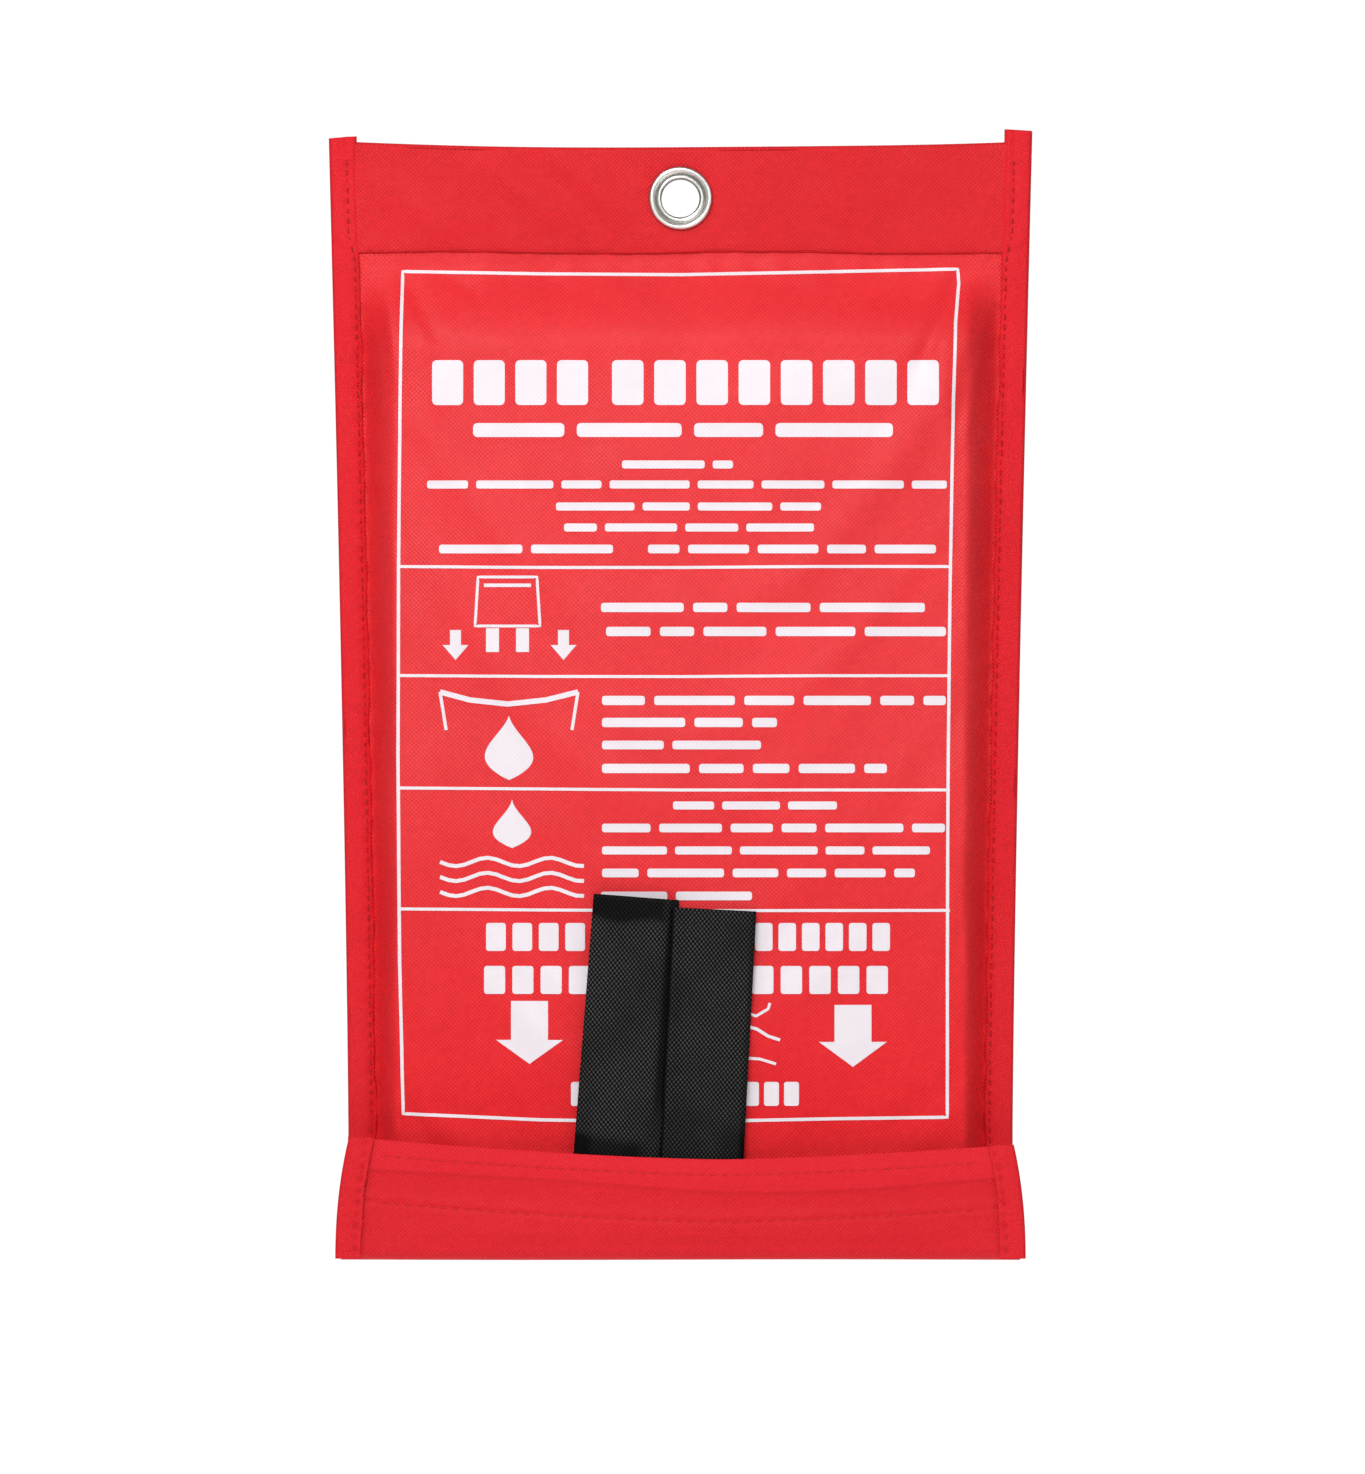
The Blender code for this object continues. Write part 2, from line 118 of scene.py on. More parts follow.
def ridge(x, z, x0, z0, x1, z1, width):
    """1 along a line from (x0, z0) to (x1, z1), fading over width and towards both ends."""
    dx, dz = x1 - x0, z1 - z0
    length = math.hypot(dx, dz)
    t = ((x - x0) * dx + (z - z0) * dz) / length ** 2
    off = ((x - x0) * dz - (z - z0) * dx) / length
    return bell(off, width) * ease((t + 0.15) / 0.4) * ease((1.15 - t) / 0.4)


def creases(x, z, table):
    return sum(height * ridge(x, z, *line) for *line, height in table)


def half_width(z):
    """From the pouch's middle to the outer edge of its binding."""
    return 94.4 + 5.6 * (np.maximum(0.0, z - 36) / 284) ** 1.3


def flap_half(z):
    return 97.55 - 3.6 * (np.minimum(z, 33.8) / 33.8) ** 2.2


def flap_top(x):
    return 28.6 + 6.2 * (np.abs(x - 12) / np.where(x < 12, 106.0, 110.0)) ** 1.5


def blur(values, cells):
    """A grid smoothed over this many cells."""
    half = int(3 * cells) + 1
    weights = np.exp(-0.5 * (np.arange(-half, half + 1) / cells) ** 2)
    weights /= weights.sum()
    for axis in (0, 1):
        pad = [(half, half) if a == axis else (0, 0) for a in range(values.ndim)]
        wide = np.pad(values, pad, "edge")
        count = values.shape[axis]
        values = sum(w * np.take(wide, range(i, i + count), axis) for i, w in enumerate(weights))
    return values


# ------------------------------------------------------------------ grids and meshes
def points(x, y, z):
    """Coordinates of any matching shapes joined into points."""
    return np.stack(np.broadcast_arrays(x, y, z), -1)


def normals(grid):
    normal = np.cross(np.gradient(grid, axis=1), np.gradient(grid, axis=0))
    return normal / np.maximum(np.linalg.norm(normal, axis=2, keepdims=True), 1e-9)


def faces_away(grid, row, col, side=FRONT):
    """True if the grid's normal at this cell points away from that side."""
    return normals(grid)[row, col, 1] * side < 0


def grid_quads(index):
    corners = index[:-1, :-1], index[:-1, 1:], index[1:, 1:], index[1:, :-1]
    return np.stack([c.ravel() for c in corners], 1)


def shell(outer, inner, flip):
    """(verts, faces) of the closed body between two grids of the same size."""
    rows, cols = outer.shape[:2]
    count = rows * cols
    index = np.arange(count).reshape(rows, cols)
    quads = grid_quads(index)
    loop = np.concatenate([index[0, :-1], index[:-1, -1], index[-1, :0:-1], index[:0:-1, 0]])
    after = np.roll(loop, -1)
    rim = np.stack([after, loop, loop + count, after + count], 1)
    faces = np.concatenate([quads, quads[:, [0, 3, 2, 1]] + count, rim])
    if flip:
        faces = faces[:, ::-1]
    return np.concatenate([outer.reshape(-1, 3), inner.reshape(-1, 3)]), faces


def sheet(grid, thick, flip=False):
    """A closed sheet: the grid is its outer face and it is thickened inwards."""
    normal = normals(grid)
    if flip:
        normal = -normal
    return shell(grid, grid - normal * thick, flip)


def sheet_with_hole(grid, thick, flip, radius):
    """A sheet with a round hole for the eyelet."""
    verts, faces = sheet(grid, thick, flip)
    count = grid.shape[0] * grid.shape[1]
    reach = np.hypot(verts[:, 0], verts[:, 2] - EYELET_Z)
    faces = faces[~(reach[faces] < radius).any(axis=1)]
    # close the cut with walls between the two faces
    outer = faces[(faces < count).all(axis=1)]
    edges = np.concatenate([outer[:, [0, 1]], outer[:, [1, 2]], outer[:, [2, 3]], outer[:, [3, 0]]])
    edges = edges[(reach[edges] < radius + 3).all(axis=1)]
    known = {tuple(e) for e in edges}
    lone = [e for e in known if (e[1], e[0]) not in known]
    walls = np.array([(b, a, a + count, b + count) for a, b in lone], int)
    # pull the ragged rim onto the circle
    rim = np.unique(np.array(lone).ravel())
    rim = np.concatenate([rim, rim + count])
    pull = radius / reach[rim]
    verts[rim, 0] *= pull
    verts[rim, 2] = EYELET_Z + (verts[rim, 2] - EYELET_Z) * pull
    return verts, np.concatenate([faces, walls])


def link_object(name, data, mat):
    obj = bpy.data.objects.new(name, data)
    bpy.context.scene.collection.objects.link(obj)
    data.materials.append(mat)
    return obj


def mesh(name, shape, mat, angle=None):
    """A smooth object from (verts, faces); edges steeper than the angle stay sharp."""
    verts, faces = shape
    verts = np.asarray(verts, float).copy()
    verts[:, 1] += Y_SHIFT
    verts *= 0.001
    data = bpy.data.meshes.new(name)
    faces = np.asarray(faces, np.int32)
    count, sides = faces.shape
    data.vertices.add(len(verts))
    data.vertices.foreach_set("co", verts.ravel())
    data.loops.add(count * sides)
    data.loops.foreach_set("vertex_index", faces.ravel())
    data.polygons.add(count)
    starts = np.arange(0, count * sides, sides, dtype=np.int32)
    data.polygons.foreach_set("loop_start", starts)
    data.update(calc_edges=True)
    data.validate()
    data.shade_smooth()
    if angle:
        data.set_sharp_from_angle(angle=math.radians(angle))
    return link_object(name, data, mat)


def set_attribute(obj, name, values):
    attribute = obj.data.attributes.new(name, "FLOAT", "POINT")
    attribute.data.foreach_set("value", values.astype(np.float32))


def assign(obj, slot, *replaced):
    """Hides the pieces that the object replaces; slot is not used."""
    if replaced:
        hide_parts(*replaced)


def ride(obj, part, slot, *replaced):
    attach(obj, part)
    assign(obj, slot, *replaced)


def frame_y(y):
    return (y + Y_SHIFT) * 0.001


# ------------------------------------------------------------------ sewing
def tube(path, radius, sides=7, squash=0.8):
    """(verts, quads, triangles) of a closed strand along the path, its ends drawn in."""
    count = len(path)
    tangent = np.gradient(path, axis=0)
    tangent /= np.linalg.norm(tangent, axis=1, keepdims=True)
    side = np.cross(tangent, [0.0, 1.0, 0.0])
    side /= np.linalg.norm(side, axis=1, keepdims=True)
    other = np.cross(side, tangent)
    radii = np.full((count, 1, 1), radius)
    radii[0] = radii[-1] = radius * 0.35
    turn = (math.tau * np.arange(sides) / sides)[:, None]
    ring = side[:, None] * np.cos(turn) + other[:, None] * np.sin(turn) * squash
    verts = np.concatenate([(path[:, None] + ring * radii).reshape(-1, 3), path[[0, -1]]])
    quads, triangles = [], []
    for i in range(count - 1):
        for k in range(sides):
            a, b = i * sides + k, i * sides + (k + 1) % sides
            quads.append((a, b, b + sides, a + sides))
    start, end, last = count * sides, count * sides + 1, (count - 1) * sides
    for k in range(sides):
        after = (k + 1) % sides
        triangles += [(start, after, k), (end, last + k, last + after)]
    return verts, np.array(quads), np.array(triangles)


def stitches(path_at, length, pitch=STITCH, gap=0.42, radius=0.17, lift=0.07):
    """Separate stitches along path_at(s) -> point, s in mm; each arches a little towards -y."""
    parts = []
    for k in range(int(length / pitch)):
        start = k * pitch + gap / 2
        path = np.array([path_at(s) for s in np.linspace(start, start + pitch - gap, 7)])
        arch = np.sin(np.linspace(0, math.pi, 7)) ** 0.6
        path[:, 1] -= arch * lift - (1 - arch) * 0.16
        parts.append(tube(path, radius))
    return parts


def thread(name, parts, mat):
    """One object from strands: all their quads first, then their end caps."""
    verts, quads, triangles, base = [], [], [], 0
    for part_verts, part_quads, part_triangles in parts:
        verts.append(part_verts)
        quads += (part_quads + base).tolist()
        triangles += (part_triangles + base).tolist()
        base += len(part_verts)
    verts = np.concatenate(verts)
    verts[:, 1] += Y_SHIFT
    data = bpy.data.meshes.new(name)
    data.from_pydata([tuple(p) for p in verts * 0.001], [], quads + triangles)
    data.update()
    data.shade_smooth()
    return link_object(name, data, mat)


# ------------------------------------------------------------------ shader nodes
def add_node(tree, kind, inputs=None, **settings):
    """A node with these settings; each input takes a value or another node's output."""
    node = tree.nodes.new("ShaderNode" + kind)
    for key, value in settings.items():
        setattr(node, key, value)
    for key, value in (inputs or {}).items():
        fill_input(tree, node, key, value)
    return node


def fill_input(tree, node, key, value):
    if isinstance(value, bpy.types.NodeSocket):
        tree.links.new(value, node.inputs[key])
    else:
        node.inputs[key].default_value = value


class Net:
    """A new material and a short way to write its nodes; lengths are in metres."""

    def __init__(self, name, colour, rough, metal=0.0):
        self.mat = bpy.data.materials.new(name)
        self.mat.use_nodes = True
        self.tree = self.mat.node_tree
        self.shader = self.tree.nodes["Principled BSDF"]
        self.put("Base Color", (*colour, 1))
        self.put("Roughness", rough)
        self.put("Metallic", metal)
        self.at = add_node(self.tree, "TexCoord").outputs["Object"]
        self.x, self.y, self.z = add_node(self.tree, "SeparateXYZ", {0: self.at}).outputs

    def put(self, name, value):
        fill_input(self.tree, self.shader, name, value)

    def math(self, operation, *values):
        inputs = dict(enumerate(values))
        return add_node(self.tree, "Math", inputs, operation=operation).outputs[0]

    def add(self, a, b):
        return self.math("ADD", a, b)

    def sub(self, a, b):
        return self.math("SUBTRACT", a, b)

    def mul(self, a, b):
        return self.math("MULTIPLY", a, b)

    def weighted(self, *pairs):
        """The sum of (value, weight) pairs."""
        first, *rest = [self.mul(value, weight) for value, weight in pairs]
        for value in rest:
            first = self.add(first, value)
        return first

    def unit(self, value, swing=0.5):
        """A wave of -1..1 brought round 0.5."""
        return self.math("MULTIPLY_ADD", value, swing, 0.5)

    def sine(self, value, period):
        return self.math("SINE", self.mul(value, math.tau / period))

    def noise(self, scale, detail=3.0, rough=0.5):
        inputs = {"Scale": scale, "Detail": detail, "Roughness": rough, "Vector": self.at}
        return add_node(self.tree, "TexNoise", inputs).outputs["Fac"]

    def spread(self, value, low, high, from_low=0.3, from_high=0.7):
        inputs = {"From Min": from_low, "From Max": from_high, "To Min": low, "To Max": high,
                  "Value": value}
        return add_node(self.tree, "MapRange", inputs).outputs["Result"]

    def colours(self, value, first, second):
        inputs = {"A": (*first, 1), "B": (*second, 1), "Factor": value}
        return add_node(self.tree, "Mix", inputs, data_type="RGBA").outputs["Result"]

    def attribute(self, name):
        return add_node(self.tree, "Attribute", attribute_name=name).outputs["Fac"]

    def bump(self, height, distance, strength=1.0, below=None):
        inputs = {"Strength": strength, "Distance": distance, "Height": height}
        if below is not None:
            inputs["Normal"] = below
        return add_node(self.tree, "Bump", inputs).outputs["Normal"]

    def weave(self, pitch, diagonal=False, turning=False):
        """Crossing threads over x and z, or at 45 degrees; turning follows cloth that goes from
        upright to level."""
        a, b = self.x, self.add(self.y, self.z) if turning else self.z
        if diagonal:
            a, b = self.add(a, b), self.sub(a, b)
        return self.unit(self.mul(self.sine(a, pitch), self.sine(b, pitch)))


# ------------------------------------------------------------------ materials
CLOTH_PITCH = 0.00122


def red_coated(name, light, dark, rough=0.5, pitch=CLOTH_PITCH, depth=0.00011, shine=0.40,
               turning=False, fade=False, hem=None):
    """Red cloth. fade: less shine low down and at the top. hem: painted light for the flap's band, two tints
    set by the hem attribute: a painted highlight on the hem band at 1 and painted shade on the cloth below
    it at 0."""
    net = Net(name, light, rough)
    weave = net.weave(pitch, turning=turning)
    broad = net.noise(scale=26.0)
    fine = net.noise(scale=520.0, detail=4.0, rough=0.6)
    tone = net.weighted(
        (net.spread(broad, low=0, high=1, from_low=0.3, from_high=0.72), 0.25),
        (net.sub(1.0, weave), 0.6),
        (net.spread(fine, low=0, high=1), 0.25),
    )
    base = net.colours(tone, light, dark)
    if hem:
        # painted light: the hem band lighter, the flap's cloth below it darker
        tint = net.colours(net.attribute("hem_lit_band"), hem[1], hem[0])
        base = add_node(net.tree, "Mix", {"Factor": 1.0, "A": base, "B": tint},
                        data_type="RGBA", blend_type="MULTIPLY").outputs["Result"]
    net.put("Base Color", base)
    patches = net.spread(net.noise(scale=90.0), low=rough - 0.06, high=rough + 0.08)
    net.put("Roughness", net.add(patches, net.mul(weave, 0.05)))
    grain = net.noise(scale=260.0, detail=5.0, rough=0.6)
    low = net.bump(grain, distance=0.00018, strength=0.5)
    net.put("Normal", net.bump(weave, distance=depth, below=low))
    if fade:
        rise = net.spread(net.z, low=shine * 0.2, high=shine, from_low=0.035, from_high=0.15)
        fall = net.spread(net.z, low=1.0, high=0.68, from_low=0.235, from_high=0.272)
        shine = net.mul(rise, fall)
    net.put("Specular IOR Level", shine)
    net.put("Sheen Tint", (1.0, 0.55, 0.55, 1))      # only shows if sheen is turned on
    return net.mat


def sewing_thread(name, light, dark):
    net = Net(name, light, rough=0.55)
    twist = net.sine(net.add(net.add(net.x, net.z), net.y), period=0.00045)
    net.put("Base Color", net.colours(net.unit(twist, swing=0.35), light, dark))
    net.put("Normal", net.bump(twist, distance=0.00004))
    net.put("Specular IOR Level", 0.25)
    return net.mat


def woven_webbing():
    net = Net("black_woven_webbing", (0.012, 0.012, 0.012), rough=0.5)
    lean = math.radians(3.4)                          # near the lean of both tapes
    warp_pitch, weft_pitch = 0.00060, 0.00074
    across = net.sub(net.mul(net.x, math.cos(lean)), net.mul(net.z, math.sin(lean)))
    along = net.add(net.mul(net.x, math.sin(lean)), net.mul(net.z, math.cos(lean)))
    fine = net.noise(scale=1100.0, detail=4.0, rough=0.7)
    wobble = net.mul(net.sub(net.noise(scale=120.0, detail=2.0), 0.5), 0.0004)
    warp, weft = [
        net.math("COSINE", net.mul(net.add(value, wobble), math.pi / pitch))
        for value, pitch in ((across, warp_pitch), (along, weft_pitch))
    ]
    cells = net.unit(net.mul(warp, weft))
    # random patches where the dots are weaker
    wear_and_shade = net.noise(scale=38.0, detail=3.0, rough=0.6)
    calm = net.spread(wear_and_shade, low=0.55, high=1.1, from_low=0.36, from_high=0.60)
    # the mask darkens the weave where it is smooth and where shade is painted: the bright dots fade out
    # there
    calm = net.mul(calm, net.sub(1.0, net.attribute("weave_smooth_and_shade_mask")))
    dots = net.mul(net.math("POWER", cells, 2.9), calm)
    tone = net.weighted((dots, 0.75), (net.mul(fine, dots), 0.6))
    net.put("Base Color", net.colours(tone, (0.0006, 0.0006, 0.0006), (0.088, 0.088, 0.087)))
    net.put("Roughness", net.spread(fine, low=0.38, high=0.6))
    height = net.add(net.mul(cells, calm), net.mul(fine, 0.35))
    net.put("Normal", net.bump(height, distance=0.00026))
    net.put("Specular IOR Level", 0.05)
    return net.mat


def screen_print():
    net = Net("white_screen_print", (0.88, 0.82, 0.86), rough=0.42)
    weave = net.weave(CLOTH_PITCH)
    patch = net.noise(scale=160.0, detail=4.0, rough=0.6)
    tone = net.weighted((patch, 0.6), (weave, 0.3))
    net.put("Base Color", net.colours(tone, (0.83, 0.775, 0.815), (0.72, 0.635, 0.69)))
    net.put("Normal", net.bump(weave, distance=0.00004))
    return net.mat


def polished_nickel():
    """Nickel with painted shade: dark rings round the eyelet's axis, in the lip's groove, at the hole's edge
    and at the outer rim.
    """
    net = Net("polished_nickel", (0.86, 0.84, 0.80), rough=0.30, metal=1.0)
    rise = net.sub(net.z, EYELET_Z / 1000)
    reach = net.math("SQRT", net.add(net.mul(net.x, net.x), net.mul(rise, rise)))

    def ring(radius, width, depth):
        off = net.math("ABSOLUTE", net.sub(reach, radius))
        fall = net.math("MAXIMUM", net.sub(1.0, net.math("DIVIDE", off, width)), 0.0)
        return net.sub(1.0, net.mul(fall, depth))

    # painted shade: dark rings in the lip's groove, at the hole's edge and at the outer rim against the
    # cloth
    wear_and_shade = net.mul(
        net.mul(ring(radius=0.00695, width=0.00048, depth=0.66),
                ring(radius=0.00545, width=0.0003, depth=0.72)),
        ring(radius=0.00914, width=0.00022, depth=0.6))
    tint = net.colours(net.noise(scale=160.0), (0.74, 0.73, 0.70), (0.62, 0.61, 0.58))
    shaded_tint = add_node(net.tree, "VectorMath", operation="SCALE")
    fill_input(net.tree, shaded_tint, 0, tint)
    fill_input(net.tree, shaded_tint, "Scale", wear_and_shade)
    net.put("Base Color", shaded_tint.outputs[0])
    return net.mat


def pile_tape(name, loops):
    """Red loop tape, or hook tape with its rows on the diagonal."""
    net = Net(name, (0.6, 0.025, 0.04), rough=0.8)
    grain = net.noise(scale=2600.0 if loops else 1500.0, rough=0.7)
    rows = net.weave(0.0012, diagonal=not loops)
    tone = net.weighted((grain, 0.6), (rows, 0.4))
    net.put("Base Color", net.colours(tone, (0.30, 0.010, 0.018), (0.68, 0.04, 0.055)))
    net.put("Normal", net.bump(tone, distance=0.0004))
    net.put("Sheen Weight", 0.5)
    return net.mat


def woven_glass():
    net = Net("woven_glass_cloth", (0.8, 0.8, 0.76), rough=0.5)
    weave = net.weave(0.0013)
    broad = net.noise(scale=40.0)
    tone = net.weighted((weave, 0.5), (broad, 0.5))
    net.put("Base Color", net.colours(tone, (0.70, 0.695, 0.65), (0.88, 0.875, 0.84)))
    net.put("Roughness", net.spread(broad, low=0.38, high=0.55))
    low = net.bump(broad, distance=0.0006, strength=0.5)
    net.put("Normal", net.bump(weave, distance=0.00012, below=low))
    net.put("Sheen Weight", 0.2)
    return net.mat


# light and dark threads
BODY_RED = (0.86, 0.026, 0.034), (0.60, 0.0105, 0.0155)
FLAP_RED = (0.80, 0.020, 0.031), (0.66, 0.011, 0.020)
red_cloth = red_coated("red_coated_cloth", *BODY_RED, rough=0.46, fade=True)
red_back = red_coated("red_coated_cloth_back", *BODY_RED, shine=0.2)
red_header = red_coated("red_header_cloth", (0.76, 0.0225, 0.030), (0.54, 0.0105, 0.0150),
                        shine=0.13)
# the flap's hem tints are painted light: a highlight on the hem band and shade below it
red_flap = red_coated("red_flap_cloth", *FLAP_RED, shine=0.12,
                      hem=((0.975, 1.06, 1.09), (0.92, 0.94, 0.94)))
red_fold = red_coated("red_fold_cloth", *FLAP_RED, shine=0.12, turning=True)
red_binding = red_coated("red_binding_cloth", (0.775, 0.023, 0.033), (0.64, 0.0125, 0.021),
                         pitch=0.00096, depth=0.00013, shine=0.09)
red_thread = sewing_thread("red_sewing_thread", (0.76, 0.026, 0.034), (0.58, 0.012, 0.018))
# painted shade: a darker copy of the red thread, for the side seams' stitches sunk in their dents
shaded_red_seam = sewing_thread("red_side_seam_thread_painted_shade", (0.50, 0.014, 0.020), (0.34, 0.008, 0.012))
black_thread = sewing_thread("black_sewing_thread", (0.03, 0.03, 0.03), (0.008, 0.008, 0.008))
white_thread = sewing_thread("white_sewing_thread", (0.8, 0.8, 0.78), (0.6, 0.6, 0.58))
webbing = woven_webbing()
white_print = screen_print()
nickel = polished_nickel()
glass_cloth = woven_glass()
loop_tape = pile_tape("red_loop_tape", loops=True)
hook_tape = pile_tape("red_hook_tape", loops=False)


# ------------------------------------------------------------------ pouch front
FRONT_COLS, FRONT_ROWS = 241, 361
FRONT_LOW = 9.0
SEAM_Y = 5.4                        # outer face of the front panel along its seams
POCKET_TOP = 284.0

# creases from the corners and sides of the filled pocket: x0, z0, x1, z1, width, depth inwards
FRONT_CREASES = (
    (80, 281, 67, 252, 2.6, 1.1), (85, 272, 79, 236, 2.2, 0.9), (75, 284, 54, 270, 2.4, 0.55),
    (74, 262, 76, 226, 2.8, -0.75), (88, 262, 82, 228, 1.9, 0.7), (-80, 281, -66, 256, 2.6, 0.8),
    (-86, 272, -81, 240, 2.0, 0.7), (-74, 284, -56, 272, 2.4, 0.45),
    (-83, 236, -79, 196, 2.2, 0.55), (-84, 150, -79, 118, 2.4, 0.6),
    (-85, 96, -78, 60, 2.4, 0.65), (84, 190, 79, 150, 2.4, 0.6), (84, 120, 78, 84, 2.6, 0.7),
    (83, 74, 76, 44, 2.8, 0.75), (-83, 58, -74, 36, 2.8, 0.75), (78, 52, 60, 37, 3.6, 0.5),
    (-76, 48, -56, 38, 3.6, 0.45), (-40, 278, -20, 270, 3.2, 0.25), (18, 279, 42, 272, 3.4, 0.25),
)


def front_depth(x, z):
    """y of the outer face of the filled front panel."""
    edge = half_width(z) - BINDING
    inset = edge - np.abs(x)
    lobe = 1.3 * soft(3.0, z, 55.0, 4) * ease((z - 40) / 30)
    flat = 80.0 + lobe * 0.6
    across = ease(inset / (edge - flat)) ** 0.85
    top = POCKET_TOP + 0.6 * np.sin(x / 17.0)
    up = 1 - ease((z - 258.0 - 1.2 * np.sin(x / 31.0 + 1)) / (top - 258.0))
    inside = across * up
    crown = 1.5 * (1 - (x / 84.0) ** 2).clip(0) * ease((z - 24) / 44) * ease((282 - z) / 50)
    y = SEAM_Y - 13.9 * inside - crown
    uneven = 0.42 * soft(x, z * 0.8, 62.0, 11) + 0.16 * soft(x * 0.8, z, 21.0, 12)
    y = y + inside * uneven * ease((z - 30) / 14)
    y = y + creases(x, z, FRONT_CREASES)
    # puckers where the side seams and the top seam pull the cloth
    near = bell(inset.clip(0), 4.5) * ease((281 - z) / 10)
    # `inset / 4.5` may only count inside the seam, hence the clip above
    y = y + 0.32 * near * gathers(z, 1.55, 2.2, 23.0) * np.where(x > 0, 1.0, 0.85)
    near = bell((POCKET_TOP - z).clip(0), 5.0) * ease(inset / 6)
    y = y + 0.22 * near * gathers(x, 1.7, 1.8, 19.0)
    return np.minimum(y, SEAM_Y)


def pack_form():
    """A rounded block the size of the pack, only for the drape to lie on."""
    rings = []
    for x, shrink in ((-80.6, 1.0), (-80.2, 0.3), (80.2, 0.3), (80.6, 1.0)):
        for k in range(40):
            cos, sin = math.cos(math.tau * k / 40), math.sin(math.tau * k / 40)
            rings.append((x, -0.55 + (5.2 - shrink) * np.sign(cos) * abs(cos) ** 0.35,
                          149.0 + (115.5 - shrink) * np.sign(sin) * abs(sin) ** 0.35))
    faces = []
    for j in range(3):
        for k in range(40):
            a, b = j * 40 + k, j * 40 + (k + 1) % 40
            faces.append((a, b, b + 40, a + 40))
    verts = np.array(rings + [(-80.8, -0.55, 149.0), (80.8, -0.55, 149.0)])
    for k in range(0, 40, 2):
        faces.append((160, (k + 2) % 40, k + 1, k))
        faces.append((161, 120 + k, 121 + k, 120 + (k + 2) % 40))
    return verts, faces


def set_all(target, **values):
    for key, value in values.items():
        setattr(target, key, value)


def drape_front(fine):
    """Lets the front panel settle over the pack: seams pinned, every second point simulated."""
    coarse = fine[::2, ::2]
    x, z = coarse[..., 0], coarse[..., 2]
    index = np.arange(x.size).reshape(x.shape)
    cloth = mesh("front_panel_drape", (coarse.reshape(-1, 3), grid_quads(index)), red_cloth)
    pins = cloth.vertex_groups.new(name="pins")
    edge = half_width(z) - BINDING
    hold = (np.abs(x) > edge - 1.0) | (z > 283.0) | (z < 12.0)
    pins.add([int(i) for i in index[hold]], 1.0, "REPLACE")
    pack = mesh("pack_form", pack_form(), glass_cloth)
    pack.modifiers.new("collide", "COLLISION")
    set_all(pack.collision, thickness_outer=0.0006, cloth_friction=12)
    modifier = cloth.modifiers.new("cloth", "CLOTH")
    set_all(
        modifier.settings, quality=6, mass=0.25, air_damping=6.0,
        tension_stiffness=22.0, compression_stiffness=22.0,
        shear_stiffness=14.0, bending_stiffness=1.4, vertex_group_mass="pins",
        use_pressure=False, uniform_pressure_force=0.0, shrink_min=-0.012)
    modifier.settings.effector_weights.gravity = 0.35
    set_all(modifier.collision_settings, use_collision=True, distance_min=0.0006,
            use_self_collision=False)
    frames = 16
    scene = bpy.context.scene
    set_all(modifier.point_cache, frame_start=1, frame_end=frames)
    for number in range(1, frames + 1):
        scene.frame_set(number)
    settled = cloth.evaluated_get(bpy.context.evaluated_depsgraph_get())
    flat = np.empty(coarse.size, np.float32)
    settled.data.vertices.foreach_get("co", flat)
    scene.frame_set(1)
    bpy.data.objects.remove(cloth, do_unlink=True)
    bpy.data.objects.remove(pack, do_unlink=True)
    draped = flat.reshape(coarse.shape).astype(float) * 1000
    draped[..., 1] -= Y_SHIFT
    move = draped - coarse
    far = np.linalg.norm(move, axis=2, keepdims=True)
    move *= np.minimum(1.0, 1.6 / np.maximum(far, 1e-6))
    move[..., 0] = move[..., 2] = 0.0       # only the depth is taken, so the print stays placed
    fade = ease((281.0 - z) / 9.0) * ease((edge - np.abs(x)) / 5.0) * ease((z - 22.0) / 10.0)
    move = blur(move * fade[..., None], 1.7)
    full = np.zeros_like(fine)
    full[::2, ::2] = move
    full[1::2, ::2] = (move[:-1] + move[1:]) / 2
    full[:, 1::2] = (full[:, :-1:2] + full[:, 2::2]) / 2
    return fine + blur(full, 1.0)


def flat_front():
    across = np.linspace(-1, 1, FRONT_COLS)
    up = np.linspace(0, 1, FRONT_ROWS)[:, None]
    z = FRONT_LOW + (PANEL_TOP - FRONT_LOW) * up + 0 * across
    x = across * (half_width(z) - PANEL_INSET)
    return points(x, front_depth(x, z), z)


front_grid = flat_front()
front_grid = drape_front(front_grid)
front_flip = faces_away(front_grid, FRONT_ROWS // 2, FRONT_COLS // 2)
front_normals = normals(front_grid) * (-1 if front_flip else 1)


def on_front(x, z, lift):
    """The point of the finished front panel that was at (x, z) before it settled, lifted out."""
    row = (z - FRONT_LOW) / (PANEL_TOP - FRONT_LOW) * (FRONT_ROWS - 1)
    col = (x / (half_width(z) - PANEL_INSET) + 1) / 2 * (FRONT_COLS - 1)
    row = np.clip(row, 0, FRONT_ROWS - 1.001)
    col = np.clip(col, 0, FRONT_COLS - 1.001)
    j, i = row.astype(int), col.astype(int)
    up, across = (row - j)[..., None], (col - i)[..., None]

    def between(grid):
        return mix(mix(grid[j, i], grid[j + 1, i], up),
                   mix(grid[j, i + 1], grid[j + 1, i + 1], up), across)

    return between(front_grid) + between(front_normals) * lift


shape = sheet_with_hole(front_grid, 0.5, front_flip, PANEL_HOLE)
ride(mesh("pouch_front", shape, red_cloth), "pouch", "red_fabric", "front_panel")


# ------------------------------------------------------------------ back panel
# slack folds: x0, z0, x1, z1, width, height towards the back
BACK_CREASES = (
    (-72, 279, -30, 196, 5.5, 0.50), (68, 279, 36, 206, 4.6, 0.48), (8, 274, 24, 172, 6.5, 0.34),
    (-80, 196, -40, 150, 5.0, 0.36), (80, 150, 44, 112, 4.6, 0.38), (-24, 30, 14, 112, 5.6, 0.36),
    (76, 24, 46, 92, 4.4, 0.46), (-78, 22, -50, 84, 4.6, 0.44), (-46, 278, -12, 236, 3.6, 0.26),
)


